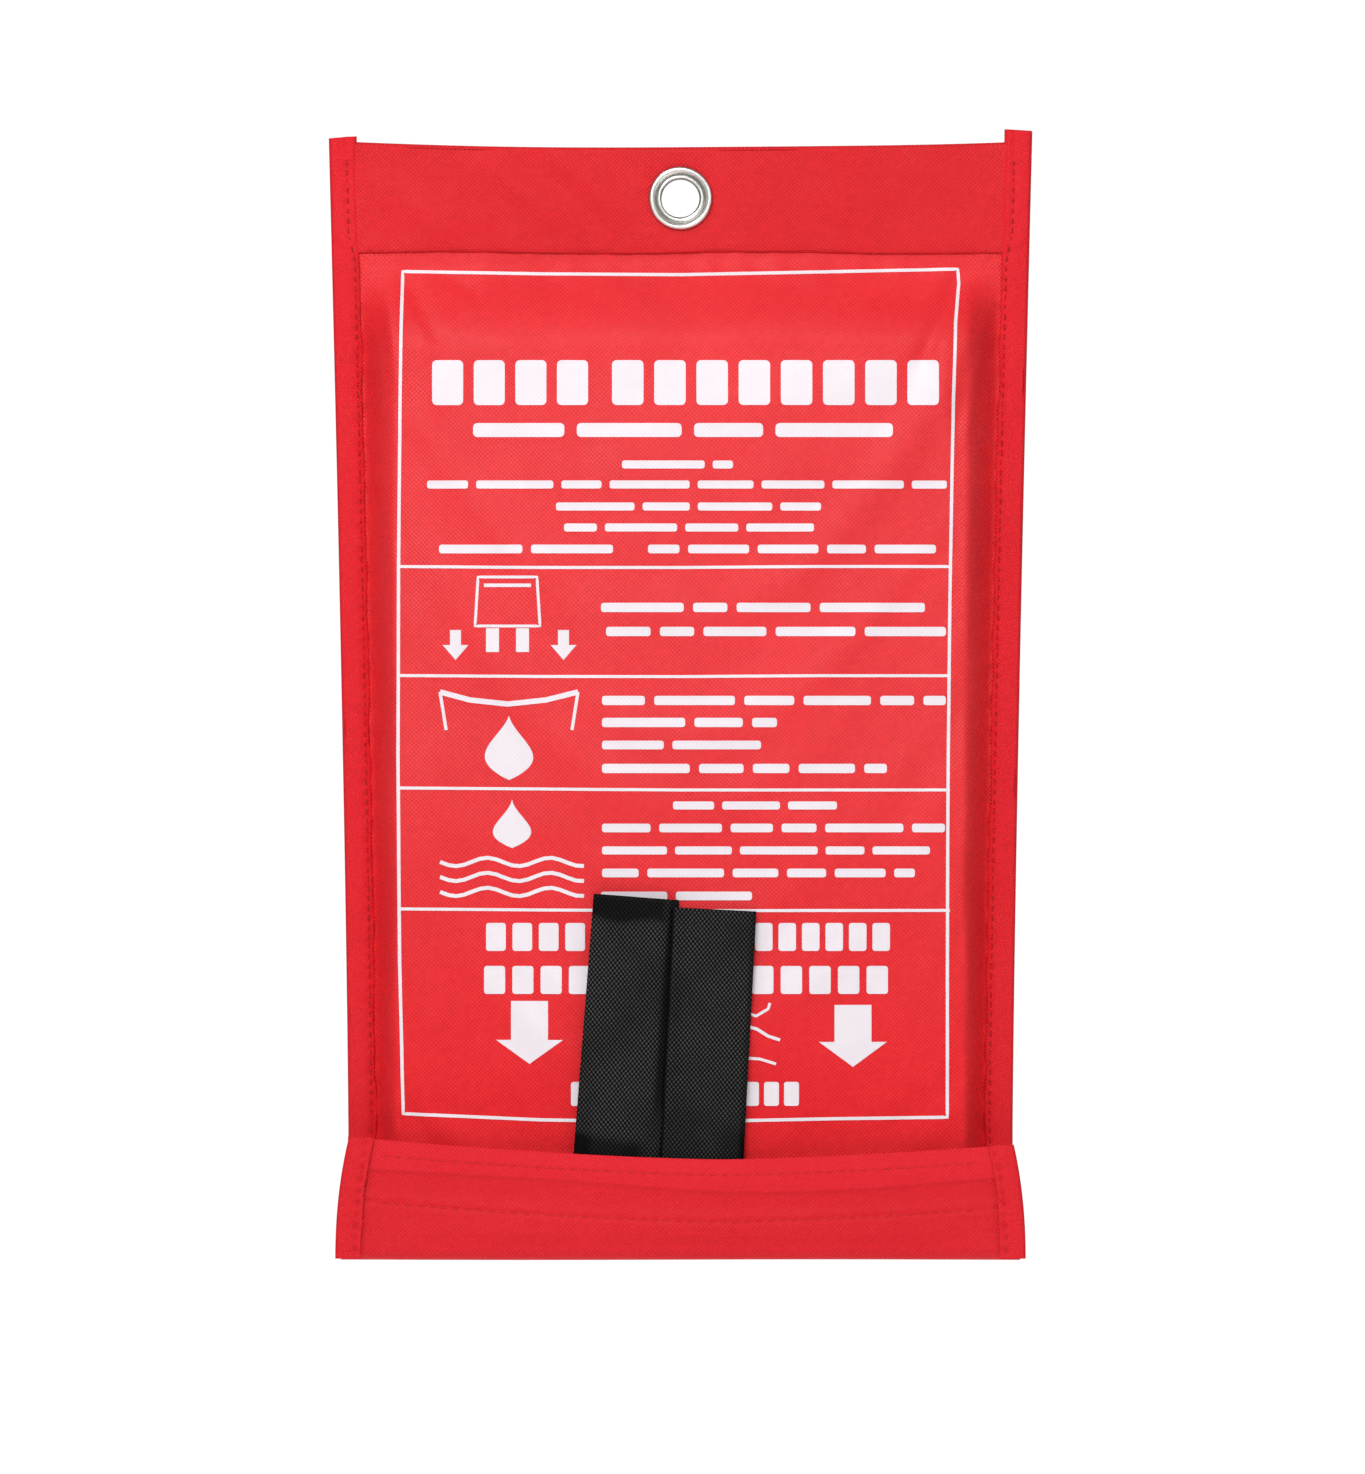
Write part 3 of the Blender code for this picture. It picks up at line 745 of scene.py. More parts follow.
def back_grid():
    across = np.linspace(-1, 1, 121)
    z = np.linspace(5.0, PANEL_TOP, 160)[:, None] + 0 * across
    x = across * (half_width(z) - PANEL_INSET)
    y = 6.75 + 0.10 * soft(x, z, 48.0, 21) + 0.03 * soft(x, z, 12.0, 22)
    slack = 0.30 * (0.5 + 0.5 * soft(x, z * 0.6, 58.0, 23)).clip(0)
    slack = slack + 0.10 * soft(x * 0.8, z, 17.0, 24) + creases(x, z, BACK_CREASES)
    held = ease((281 - z) / 12) * ease((z - 13) / 12) * ease((85 - np.abs(x)) / 12)
    return points(x, y + slack * held, z)


grid = back_grid()
shape = sheet_with_hole(grid, 0.45, faces_away(grid, 80, 60, BACK), PANEL_HOLE)
ride(mesh("pouch_back", shape, red_back), "pouch", "red_fabric", "back_panel")


# ------------------------------------------------------------------ header
HEADER_FRONT, HEADER_BACK = 4.45, 7.75        # y of the folded band's two sides
HEADER_LOW = 285.4

# broad soft folds from the eyelet and the ends: x0, z0, x1, z1, width, depth inwards
HEADER_CREASES = (
    (-58, 314, -30, 292, 4.6, -0.95), (-36, 315, -14, 294, 3.6, -0.80),
    (-47, 314, -22, 291, 3.8, 0.55), (22, 314, 52, 294, 5.0, -0.80),
    (34, 314, 66, 292, 4.5, 0.50), (-90, 308, -62, 290, 5.0, -0.75),
)


def header_line(x):
    """Height of the header's top edge."""
    end = np.abs(x) / 95.0
    return 314.9 + 1.5 * end ** 2 + 0.18 * np.sin(x / 23.0 + 0.6) + np.where(x < 0, 0.1, 0.3) * end ** 3


def header_seam(x):
    """Height of the stitches along the header's lower edge."""
    return 286.1 + 0.35 * np.sin(x / 14.0) + 0.2 * np.sin(x / 5.3)


def header_dent(x, z):
    """How the cloth lies round the eyelet and along the seam: positive is towards the back."""
    reach = np.hypot(x, z - EYELET_Z)
    seam = z - header_seam(x)
    dent = 0.16 * bell(reach - 9.0, 2.2) - 0.12 * bell(reach - 13.5, 3.0)
    dent = dent + 0.17 * bell(seam, 0.8) * stitch_beat(x)
    dent = dent + 0.07 * bell(seam - 2.4, 1.8) * gathers(x, 1.9, 1.6, 13.0)
    dent = dent + 0.66 * ease((-seam - 0.1) / 1.1)
    return dent + ease((reach - 9.5) / 5.0) * creases(x, z, HEADER_CREASES)


def header_grid():
    """The fold from its lower front edge over the top to its lower back edge."""
    across = np.linspace(-1, 1, 221)
    level = across * 98.0
    top = header_line(level)
    rise = np.linspace(0, 1, 70)[:, None]
    turn = np.linspace(0.15, math.pi - 0.15, 11)[:, None]
    fall = np.linspace(0, 1, 34)[:, None]
    z = np.concatenate([
        HEADER_LOW + 0.3 * np.sin(level / 14.0) + (top - 286.20) * rise,
        top - 0.8 + 1.4 * np.sin(turn),
        top - 0.8 - (top - HEADER_LOW) * fall,
    ])
    half = (HEADER_BACK - HEADER_FRONT) / 2
    middle = HEADER_FRONT + half
    y = np.concatenate([HEADER_FRONT + 0 * rise, middle - half * np.cos(turn),
                        HEADER_BACK + 0 * fall])
    x = across * (half_width(z) - 1.5)
    dent = header_dent(x, z) + 0.10 * soft(x, z, 34.0, 31) + 0.05 * soft(x, z, 10.0, 32)
    y = np.where(y < 6.0, y + np.clip(dent, -0.95, 0.8), y + 0.05 * soft(x, z, 30.0, 33))
    return points(x, y, z)


grid = header_grid()
shape = sheet_with_hole(grid, 0.42, faces_away(grid, 20, 110), HEADER_HOLE)
ride(mesh("pouch_header", shape, red_header), "pouch", "red_fabric", "header_band")


# ------------------------------------------------------------------ side bindings
def binding_grid(side, heights, edge_at, front, rear, width, tilt, line_at, seed, lip,
                 crease=None):
    """A folded binding: from its inner front edge, round the outside, to its inner back edge.
    edge_at and line_at give the outer edge and the stitch line's inset at a height."""
    middle, half = (front + rear) / 2, (rear - front) / 2
    turn = np.linspace(0.2, math.pi - 0.2, 11)
    across, home = np.linspace(0, 1, 15), np.linspace(0, 1, 9)
    flat = np.concatenate([front + 0 * across, middle - half * np.cos(turn), rear + 0 * home])
    rows = []
    for z in heights:
        edge = edge_at(z)
        wobble = 0.18 * soft(seed * 7.0, z, 26.0, seed) + 0.07 * math.sin(z / 2.6)
        x = np.concatenate([edge - width + wobble + (width - 1.1) * across,
                            edge - 1.1 + 1.1 * np.sin(turn),
                            edge - 1.1 - (width - 1.4) * home])
        inset = edge - x
        off = inset - line_at(z)
        dent = 0.46 * bell(off, 0.75) * (0.55 + 0.45 * math.cos(math.tau * z / STITCH))
        roll = -0.22 * bell(off - 2.2, 1.3) - 0.20 * bell(off + 2.4, 1.8)
        pucker = 0.12 * gathers(z, 1.35, 2, 17.0) * bell(off, 2.5)
        hem = lip * ease((inset - (width - 1.5)) / 1.5) ** 1.3
        pulled = crease(z, inset) if crease else 0
        y = np.where(flat < middle, flat + dent + roll + pucker + hem + pulled,
                     flat - 0.25 * bell(off, 1.0))
        lift = tilt * inset / width if z == heights[-1] else 0.0
        rows.append(points(side * x, y, z + lift))
    return np.array(rows)


def binding_line(z):
    """Inset of the side seam from the pouch's edge."""
    return 5.0 + 1.6 * ease((292.0 - z) / 10.0)


def binding_crease(z, inset):
    """Where the header seam crosses the binding, it is pulled in."""
    return 0.42 * bell(z - 286.0 + 0.55 * (inset - 4), 1.3) - 0.18 * bell(z - 282.5, 2.0)


# top of the binding, tilt of its end, seed
for (side, name), (top, tilt, seed) in zip(SIDES, ((318.0, 0.6, 41), (320.1, 0.5, 42))):
    grid = binding_grid(side, np.linspace(7.5, top, 420), half_width, front=4.0, rear=8.15,
                        width=BINDING, tilt=tilt, line_at=binding_line, seed=seed, lip=0.95,
                        crease=binding_crease)
    piece = mesh(name + "_binding_cloth", sheet(grid, 0.42, faces_away(grid, 200, 6)), red_binding)
    ride(piece, "pouch", "red_binding", name + "_side_binding")


# ------------------------------------------------------------------ eyelet
def turned(name, profile, steps, angle=None):
    """A nickel ring turned round the eyelet's axis from a closed profile of (radius, y)."""
    radius, y = np.array(profile, float).T
    turn = np.linspace(0, math.tau, steps, endpoint=False)[:, None]
    verts = points(radius * np.cos(turn), y, EYELET_Z + radius * np.sin(turn))
    index = np.arange(steps * len(y)).reshape(steps, len(y))
    after = np.roll(index, -1, 0)
    faces = np.stack([index, np.roll(index, -1, 1), np.roll(after, -1, 1), after], -1)
    return mesh(name, (verts.reshape(-1, 3), faces.reshape(-1, 4)), nickel, angle)


def curve_through(stations, steps=6):
    """A smooth line through the stations (Catmull-Rom)."""
    knots = np.array(stations, float)
    out = []
    for i in range(len(knots) - 1):
        a, b, c = knots[max(i - 1, 0)], knots[i], knots[i + 1]
        d = knots[min(i + 2, len(knots) - 1)]
        for k in range(steps):
            t = k / steps
            out.append(0.5 * (2 * b + (c - a) * t + (2 * a - 5 * b + 4 * c - d) * t * t
                              + (3 * b - a - 3 * c + d) * t ** 3))
    out.append(knots[-1])
    return out


# profiles: radius, y
EYELET_LIP = (
    (5.40, 7.6), (5.40, 5.6), (5.42, 4.60), (5.62, 3.98), (6.05, 3.70), (6.45, 3.88), (6.80, 4.36),
    (7.06, 4.42), (7.30, 3.90), (7.66, 3.36), (8.14, 3.14), (8.64, 3.30), (9.00, 3.76),
    (9.12, 4.28),
)
EYELET_INSIDE = [
    (8.94, 4.36), (8.42, 4.02), (8.0, 3.86), (7.6, 4.0), (7.3, 4.6), (7.0, 4.95), (6.45, 4.95),
    (6.02, 4.7), (5.95, 5.2), (5.95, 8.45),
]
EYELET_REAR = (
    (6.25, 8.66), (6.75, 8.66), (6.92, 8.84), (6.70, 9.02), (6.10, 9.02), (5.62, 8.75),
    (5.42, 8.2), (5.40, 7.6),
)
WASHER_INSIDE = [(6.15, 8.0), (6.15, 8.36), (6.9, 8.36), (7.25, 8.40), (7.45, 8.5)]
WASHER_RIM = ((8.3, 8.5), (8.72, 8.42), (8.86, 8.2), (8.80, 8.0))

profile = curve_through(EYELET_LIP) + EYELET_INSIDE + curve_through(EYELET_REAR, 4)[:-1]
ride(turned("eyelet_turned", profile, 192), "pouch", "nickel", "eyelet_front")
profile = WASHER_INSIDE + curve_through(WASHER_RIM, 4)
ride(turned("eyelet_washer_turned", profile, 144, angle=30), "pouch", "nickel", "eyelet_washer")


# ------------------------------------------------------------------ seams of the pouch
def header_stitch(s):
    x = s - 90.0
    z = header_seam(x)
    return x, HEADER_FRONT + header_dent(x, z) - 0.06, z


def side_seam(side, y):
    def at(s):
        z = 10.0 + s
        return side * (half_width(z) - binding_line(z)), y, z
    return at


piece = thread("header_stitches", stitches(header_stitch, 180.0), red_thread)
ride(piece, "pouch", "red_thread", "header_seam_thread")
for side, name in SIDES:
    parts = stitches(side_seam(side, 4.12), 305.0, pitch=2.75, gap=0.95, radius=0.18, lift=0.10)
    parts += stitches(side_seam(side, 7.95), 305.0, lift=-0.08)
    piece = thread(name + "_side_stitches", parts, shaded_red_seam)
    ride(piece, "pouch", "red_thread", name + "_seam_thread")


def mouth_loops():
    """The loop strip on the mouth, with its pile."""
    side, low, high = 78, 10.0, 27.5
    x, z = np.meshgrid(np.linspace(-side, side, 400), np.linspace(low, high, 70))
    pile = np.random.RandomState(7).uniform(0, 1, x.shape) * 0.32
    pile = pile * ease(np.minimum(z - low, high - z) / 1.2) * ease((side - np.abs(x)) / 1.2)
    return points(x, -8.85 - pile, z)


grid = mouth_loops()
piece = mesh("mouth_loop_pile", sheet(grid, 0.25, faces_away(grid, 30, 200)), loop_tape)
ride(piece, "pouch", "hook_and_loop", "mouth_loop_strip")


# ------------------------------------------------------------------ closure flap
FLAP_COLS = np.linspace(-1, 1, 321)
FOLD_FRONT, FOLD_RADIUS = -9.0, 3.65     # where the fold under the mouth turns up, and how deep
FLAP_LOW = 3.6                           # top of the turn
FLAP_ROLL = 0.35                         # the rolled top edge starts this far below the top


def flap_hem(x):
    """Depth of the doubled cloth below the flap's top edge."""
    return 8.0 + 1.4 * ease((x + 60) / 120) + 0.5 * np.sin(x / 21.0)


def flap_face(x, z):
    """y of the outer face of the flap's band."""
    down = z - flap_top(x)
    hem = flap_hem(x)
    y = -12.70 + 0.20 * soft(x, z * 0.7, 34.0, 51) + 0.05 * soft(x, z, 13.0, 52)
    # broad bulges and the bent-back ends
    y = y - 0.55 * bell(z - 7.5, 5.0) * ease((92 - np.abs(x)) / 30) + 0.30 * bell(down + 13.0, 3.2)
    y = y + 0.35 * ease((np.abs(x) - 55) / 35) - 0.30 * bell(x + 4, 38.0) * ease((z - 5) / 20)
    # the hem stands out over a step
    y = y - 0.55 * ease((down + hem + 0.9) / 1.4) - 0.22 * bell(down + hem / 2, 2.8)
    y = y + 0.04 * bell(down + hem + 1.6, 1.6)
    low = down + LOWER_ROW
    y = y + 0.24 * bell(low, 0.7) * stitch_beat(x)
    y = y - 0.12 * bell(low - 1.5, 1.1) - 0.10 * bell(low + 1.5, 1.1)
    y = y + 0.08 * gathers(x, 1.6, 2, 15.0) * bell(low, 2.2)
    high = down + UPPER_ROW
    y = y + 0.035 * bell(high, 0.6) * stitch_beat(x, shift=1)
    return y + 0.03 * gathers(x, 1.8, 1.5, 17.0) * bell(high, 2.0)


def bottom_wave(x):
    return 0.12 + 0.10 * np.sin(x / 26.0)


def flap_grid():
    rows = []
    x = FLAP_COLS * FLAP_SIDE
    for t in np.linspace(0, 1, 26):                   # forwards under the mouth
        y = -3.0 + (FOLD_FRONT + 3.0) * t
        sag = 0.10 * soft(x, y, 24.0, 53).clip(-1, 1) * t * (1 - t) * 4
        rows.append(points(x, y, bottom_wave(x) + sag))
    for turn in np.linspace(0, math.pi / 2, 16)[1:]:  # round the front fold
        sin = math.sin(turn)
        z = bottom_wave(x) * (1 - sin) + FLAP_LOW * (1 - math.cos(turn))
        rows.append(points(x, FOLD_FRONT - FOLD_RADIUS * sin, z))
    top = flap_top(FLAP_COLS * 95.0)
    edge = top - FLAP_ROLL
    for t in np.linspace(0, 1, 110)[1:]:              # up the front
        z = FLAP_LOW + (edge - FLAP_LOW) * t
        x = FLAP_COLS * (flap_half(z) - FLAP_INSET)
        y = mix(FOLD_FRONT - FOLD_RADIUS, flap_face(x, z), ease(t * 6))
        rows.append(points(x, y, z))
    x = FLAP_COLS * (flap_half(32.0) - FLAP_INSET)
    outer = flap_face(x, edge)
    for turn in np.linspace(0, math.pi, 9)[1:]:       # over the rolled top edge
        y = outer + 0.45 * (1 - math.cos(turn))
        rows.append(points(x, y, edge + 0.42 * math.sin(turn)))
    for t in np.linspace(0, 1, 14)[1:]:               # down its inner side, as a hem
        z = edge - 8.5 * t
        x = FLAP_COLS * (flap_half(z) - FLAP_INSET)
        y = mix(flap_face(x, edge), flap_face(x, z), ease(t * 3)) + 0.9 - 0.1 * t
        rows.append(points(x, y, z))
    return np.stack(rows)


def fold_grid():
    rows = []
    for t in np.linspace(0, 1, 16):                   # down the back, from inside the bindings
        z = 12.0 - 9.0 * t
        rows.append(points(FLAP_COLS * (94.0 + 2.0 * (1 - z / 12.0)), 6.95, z))
    x = FLAP_COLS * FLAP_SIDE
    for turn in np.linspace(0, math.pi / 2, 12)[1:]:
        y = 6.95 - 2.8 * (1 - math.cos(turn))
        rows.append(points(x, y, 3.0 - (3.0 - bottom_wave(x)) * math.sin(turn)))
    for t in np.linspace(0, 1, 26)[1:]:               # forwards under the pouch
        y = 4.15 - 7.4 * t
        sag = 0.12 * t * (1 - t) * 4 * soft(x, y, 22.0, 54).clip(-1, 1)
        rows.append(points(x, y, bottom_wave(x) + sag + 0.03 * t))
    return np.stack(rows)


grid = flap_grid()
verts, faces = sheet(grid, 0.32, faces_away(grid, 70, 160))
piece = mesh("flap_cloth", (verts, faces), red_flap)
x, z = verts[:, 0], verts[:, 2]
# mask for the painted highlight on the hem band and the painted shade below it
set_attribute(piece, "hem_lit_band", ease((z - (flap_top(x) - flap_hem(x)) + 0.6) / 1.2))
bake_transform(piece, "flap_fold", "flap", (0, frame_y(-8.2), 0.0002), (0, frame_y(-12.3), 0.0036))
assign(piece, "red_fabric", "flap_panel")

grid = fold_grid()
piece = mesh("flap_fold_cloth", sheet(grid, 0.32, faces_away(grid, 6, 160, BACK)), red_fold)
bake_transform(piece, "pouch", "flap_fold", (0, frame_y(6.9), 0.0046), (0, frame_y(2.4), 0.0))
assign(piece, "red_fabric", "flap_fold_strip")


def flap_edge_seam(side):
    def at(s):
        z = 1.5 + s
        return side * (flap_half(z) - FLAP_LINE), -13.52, z
    return at


def flap_row(drop):
    def at(s):
        x = s - 85.0
        z = flap_top(x) - drop
        return x, flap_face(x, z) - 0.02, z
    return at


FLAP_LINE = 5.6                          # inset of the stitches from the flap's side edges
# length of the seam, seed
for (side, name), (length, seed) in zip(SIDES, ((29.0, 61), (27.5, 62))):
    heights = np.linspace(0.6, flap_top(side * 94.0) + 0.2, 120)
    grid = binding_grid(side, heights, flap_half, front=-13.65, rear=-11.2, width=7.2, tilt=-0.3,
                        line_at=lambda z: FLAP_LINE, seed=seed, lip=0.08)
    piece = mesh("flap_" + name + "_binding_cloth", sheet(grid, 0.36, faces_away(grid, 60, 6)),
                 red_binding)
    ride(piece, "flap", "red_binding", "flap_" + name + "_binding")
    piece = thread("flap_" + name + "_stitches", stitches(flap_edge_seam(side), length), red_thread)
    ride(piece, "flap", "red_thread", "flap_" + name + "_seam_thread")

for name, drop in (("upper", UPPER_ROW), ("lower", LOWER_ROW)):
    piece = thread("flap_" + name + "_stitches", stitches(flap_row(drop), 170.0), red_thread)
    ride(piece, "flap", "red_thread", "flap_" + name + "_seam_thread")


def flap_hooks():
    """The hook strip on the flap's inner side, with rows of square hooks."""
    side, height, pitch = 84, 15, 1.2
    x, up = np.meshgrid(np.linspace(-side, side, 430), np.linspace(0, 1, 50))
    on = np.sin(x * math.tau / pitch) * np.sin(up * height * math.tau / pitch) > 0.1
    hooks = on * 0.28 * ease((side - np.abs(x)) / 2) * ease(np.minimum(up, 1 - up) * 12)
    return points(x, -11.25 + hooks, flap_top(x) - 18.0 + height * up)


grid = flap_hooks()
piece = mesh("flap_hook_pile", sheet(grid, 0.25, faces_away(grid, 25, 200, BACK)), hook_tape)
ride(piece, "flap", "hook_and_loop", "flap_hook_strip")


# ------------------------------------------------------------------ pull tapes
TAPE_STEP = 0.33
TAPE_INNER, TAPE_OUTER = -6.82, -10.06   # y of a tape's legs inside and outside the mouth
TAPE_START, TAPE_FOLD = 38.0, -25.4      # s of the inner leg's end and of the fold
TAPE_HALF = 0.62                         # half thickness


def tape_point(lean, middle, u, s):
    """(x, z) of a place on a leaning tape: u across it, s along it."""
    return (middle + s * math.sin(lean) + u * math.cos(lean),
            TAPE_Z + s * math.cos(lean) - u * math.sin(lean))


def tape_path():
    """Rows of (y, s) without the outer leg: down the inner leg and round the fold."""
    radius = (TAPE_INNER - TAPE_OUTER) / 2
    path = [(TAPE_INNER, s) for s in np.arange(TAPE_START, TAPE_FOLD, -TAPE_STEP)]
    path += [((TAPE_INNER + TAPE_OUTER) / 2 + radius * math.cos(turn),
              TAPE_FOLD - radius * math.sin(turn)) for turn in np.linspace(0, math.pi, 17)]
    return path


def tape_lie(side, x, z, u, s, width, top, seed):
    """y of the middle of the outer leg where it lies on the front."""
    y = front_depth(x, z) - 0.55 - TAPE_HALF
    y = y - 0.25 * np.abs(soft(x, z, 46.0, seed))
    y = y - 0.35 * ease((s - (top - 14)) / 14) * (0.4 + 0.6 * (u / width + 0.5))
    curl = 0.30 if side < 0 else 0.21
    y = y - curl * ease((np.abs(u) - width * 0.3) / (width * 0.25)) * ease((s - (top - 10)) / 10)
    if side < 0:        # its right edge sinks to the panel, under the other tape
        return y - 0.95 * ease((s - 4) / 20) * (1 - ease((u - (width / 2 - 5.0)) / 4.2))
    # its left edge lies on the other tape
    return y - 1.55 * (1 - ease((u + width / 2) / 5.5)) * ease((s - 2) / 18)


def tape_smooth_and_shade(side, u, s, width, top):
    """1 where the weave is smoothed away, and where shade is painted: along the left tape's right edge,
    under the other tape, and along the right tape's left edge.
    """
    half = width / 2
    if side < 0:
        margin = (
            # painted shade: the right edge, where it runs under the other tape
            0.80 * ease((u - (half - 3.6)) / 1.8) * ease((s - 3) / 10)
            + 0.85 * ease((s - (top - 8.2) - 0.8 * np.sin(u / 3.0)) / 2.6) * ease((half - 2.0 - u) / 3)
            + 0.75 * ease((1.8 - s - 0.10 * u) / 3.6) * ease((half - 3.0 - u) / 4)
            + 0.35 * ease((12 - s) / 8) * ease((-u - 6) / 4)
        )
    else:
        margin = (
            # painted shade: the left edge, which lies on the other tape
            0.95 * (1 - ease((u + half - 0.5) / 0.7))
            + 0.45 * ease((u - (half - 2.2)) / 1.5)
            + 0.55 * ease((8 - s) / 8) * ease((u - 2) / 5)
        )
    return np.clip(margin, 0, 1)


def tape_surface(side, lean, middle, width, top, seed):
    """The tape's two faces and its mask of smooth weave and painted shade: from the blanket, round the
    mouth's edge and up the front."""
    outer_leg = np.arange(TAPE_FOLD + TAPE_STEP, top, TAPE_STEP)
    path = np.array(tape_path() + [(TAPE_OUTER, s) for s in outer_leg])
    across = np.linspace(-width / 2, width / 2, int(width / TAPE_STEP))
    after_fold = (np.arange(len(path)) > int(np.argmin(path[:, 1])))[:, None]
    tangent = np.gradient(path, axis=0)
    tangent /= np.linalg.norm(tangent, axis=1, keepdims=True)
    # normal of the path in (y, s): towards -y on the outer leg, towards +y on the inner one
    normal_y, normal_s = -tangent[:, 1:], tangent[:, :1]
    u, s = np.meshgrid(across, path[:, 1])
    free = after_fold & (s > 0)
    x, z = tape_point(lean, middle, u, s)
    lie = tape_lie(side, x, z, u, s, width, top, seed)
    y = mix(path[:, :1], lie, ease(s / 13.0) * free)
    edge = width / 2 - np.abs(u)
    half = TAPE_HALF * (0.42 + 0.58 * ease(edge / 0.9))
    half = half * (1 - 0.45 * ease(1 - (top - s) / 0.8) * free)
    # rows of small floats, each row half a step over
    rib = np.cos((u + 0.25 * np.sin(s / 9.0)) * math.pi / 1.02) * np.cos(s * math.pi / 0.92)
    relief = 0.04 * rib * ease(edge / 1.2 - 0.2) * ease(1.4 - 0.8 * (edge < 0.5))
    relief = relief + 0.03 * np.cos(s * math.tau / 0.92) * (edge < 1.3)

    def face(sign):
        out = sign * (half + relief)
        x, z = tape_point(lean, middle, u, s + normal_s * out)
        return points(x, y + normal_y * out, z)

    return face(1), face(-1), tape_smooth_and_shade(side, u, s, width, top)


def tape_stitches(lean, middle):
    """A box with a cross in it."""
    corners = (-8, 14), (8, 14), (8, 33), (-8, 33)    # u, s
    parts = []
    for first, last in ((0, 1), (1, 2), (2, 3), (3, 0), (0, 2), (1, 3)):
        start, end = np.array(corners[first]), np.array(corners[last])
        length = math.hypot(*(end - start))

        def at(s):
            x, z = tape_point(lean, middle, *(start + (end - start) * s / length))
            return x, -7.46, z

        parts += stitches(at, length, pitch=2.9, gap=0.25, radius=0.17, lift=0.06)
    return parts


# lean in degrees, x of the middle, width, end of the outer leg, seed
TAPES = ((4.45, -17.75, 24.3, 69.0, 71), (2.95, 6.2, 23.8, 65.6, 72))
for (side, name), (lean, middle, width, top, seed) in zip(SIDES, TAPES):
    lean = math.radians(lean)
    outer, inner, margin = tape_surface(side, lean, middle, width, top, seed)
    row, col = outer.shape[0] - 20, outer.shape[1] // 2
    inwards = normals(outer)[row, col] @ (outer - inner)[row, col] < 0
    piece = mesh(name + "_tape_webbing", shell(outer, inner, inwards), webbing)
    # mask of smooth weave and painted shade, for the webbing's dots
    set_attribute(piece, "weave_smooth_and_shade_mask", np.tile(margin.ravel(), 2))
    hinge_y = frame_y(-10.0)
    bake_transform(piece, "blanket", name + "_tape", (0, hinge_y, 0.0325), (0, hinge_y, 0.0425))
    # the inner leg also reaches above the hinge line, so it is held to the blanket here
    blend = piece.data.attributes["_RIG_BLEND"].data
    weights = np.array([d.value for d in blend])
    places = np.array([p.co for p in piece.data.vertices])
    weights[places[:, 1] > frame_y(-8.3)] = 0.0
    blend.foreach_set("value", weights.astype(np.float32))
    assign(piece, "black_webbing", name + "_tape_root", name + "_pull_tape")
    piece = thread(name + "_tape_stitches", tape_stitches(lean, middle), black_thread)
    ride(piece, "blanket", "black_thread", name + "_tape_stitching")


# ------------------------------------------------------------------ folded blanket
PLIES = 24
PLY = 10.9 / PLIES                       # pitch of the plies
MIDDLE_PLY = (PLIES - 1) / 2


def ply_low(k):
    wander = (0.9 * math.sin(k * 1.7) + 0.6 * math.sin(k * 2.9)) * 0.8
    return 32.0 + wander + 0.12 * abs(k - MIDDLE_PLY) ** 1.3


def ply_high(k):
    return 264.6 - 0.10 * abs(k - MIDDLE_PLY) ** 1.5 + 0.5 * math.sin(k * 2.1)


def blanket_grid():
    """The cloth folded up and down from front to back, as one sheet."""
    line = []                            # y, z, ply number
    for k in range(PLIES):
        y = -6.0 + PLY * (k + 0.5)
        start, end, ahead, way = ply_low(k), ply_high(k), ply_high(k + 1), 1
        if k % 2:
            start, end, ahead, way = end, start, ply_low(k + 1), -1
        line += [(y + 0.03 * math.sin(z / 11.0 + k), z, k) for z in np.linspace(start, end, 26)]
        if k < PLIES - 1:
            for turn in np.linspace(0, math.pi, 7)[1:-1]:
                done = turn / math.pi
                line.append((y + PLY / 2 * (1 - math.cos(turn)),
                             end + (ahead - end) * done + way * 0.55 * math.sin(turn), k + done))
    y, z, ply = np.array(line).T[:, :, None]
    bow = (np.abs(ply - MIDDLE_PLY) / MIDDLE_PLY) ** 3
    x = np.linspace(-1, 1, 45) * (80.6 + 0.35 * np.sin(ply * 2.3) - 0.5 * bow)
    return points(x, y, z + 0.25 * np.sin(x / 19.0 + ply))


piece = mesh("blanket_pack", sheet(blanket_grid(), 0.33), glass_cloth, angle=60)
ride(piece, "blanket", "glass_cloth", "blanket")
parts = stitches(lambda s: (-76.0, -6.12, 34.0 + s), 228.0, pitch=3.6, gap=0.4, radius=0.2,
                 lift=0.06)
piece = thread("blanket_hem_stitches", parts, white_thread)
ride(piece, "blanket", "white_thread", "blanket_hem_thread")


# ------------------------------------------------------------------ print on the front panel
LIFT, INK = 0.12, 0.09                   # how far the print stands out, and its thickness
BAR_ROW, BAR_COL = 1.13, 0.98987         # spacing of the points in a bar
FILL_ROW, STROKE_STEP = 0.848, 1.2
prints = []


def ink(x, z):
    grid = on_front(x, z, LIFT)
    flip = faces_away(grid, grid.shape[0] // 2, grid.shape[1] // 2)
    prints.append(sheet(grid, INK, flip))


def stroke(corners, width, closed=False):
    """A line of this width through the corners."""
    corners = list(corners)
    if closed:
        corners.append(corners[0])
    path = []
    for (xa, za), (xb, zb) in zip(corners, corners[1:]):
        steps = max(1, int(math.hypot(xb - xa, zb - za) / STROKE_STEP))
        path += [(xa + (xb - xa) * t / steps, za + (zb - za) * t / steps) for t in range(steps)]
    path.append(corners[-1])
    path = np.array(path)
    tangent = np.gradient(path, axis=0)
    if closed:
        tangent[0] = tangent[-1] = (path[1] - path[-2]) / 2
    tangent /= np.maximum(np.linalg.norm(tangent, axis=1, keepdims=True), 1e-9)
    out = np.stack([-tangent[:, 1], tangent[:, 0]], 1) * width / 2
    lines = np.stack([path - out, path, path + out])
    ink(lines[..., 0], lines[..., 1])


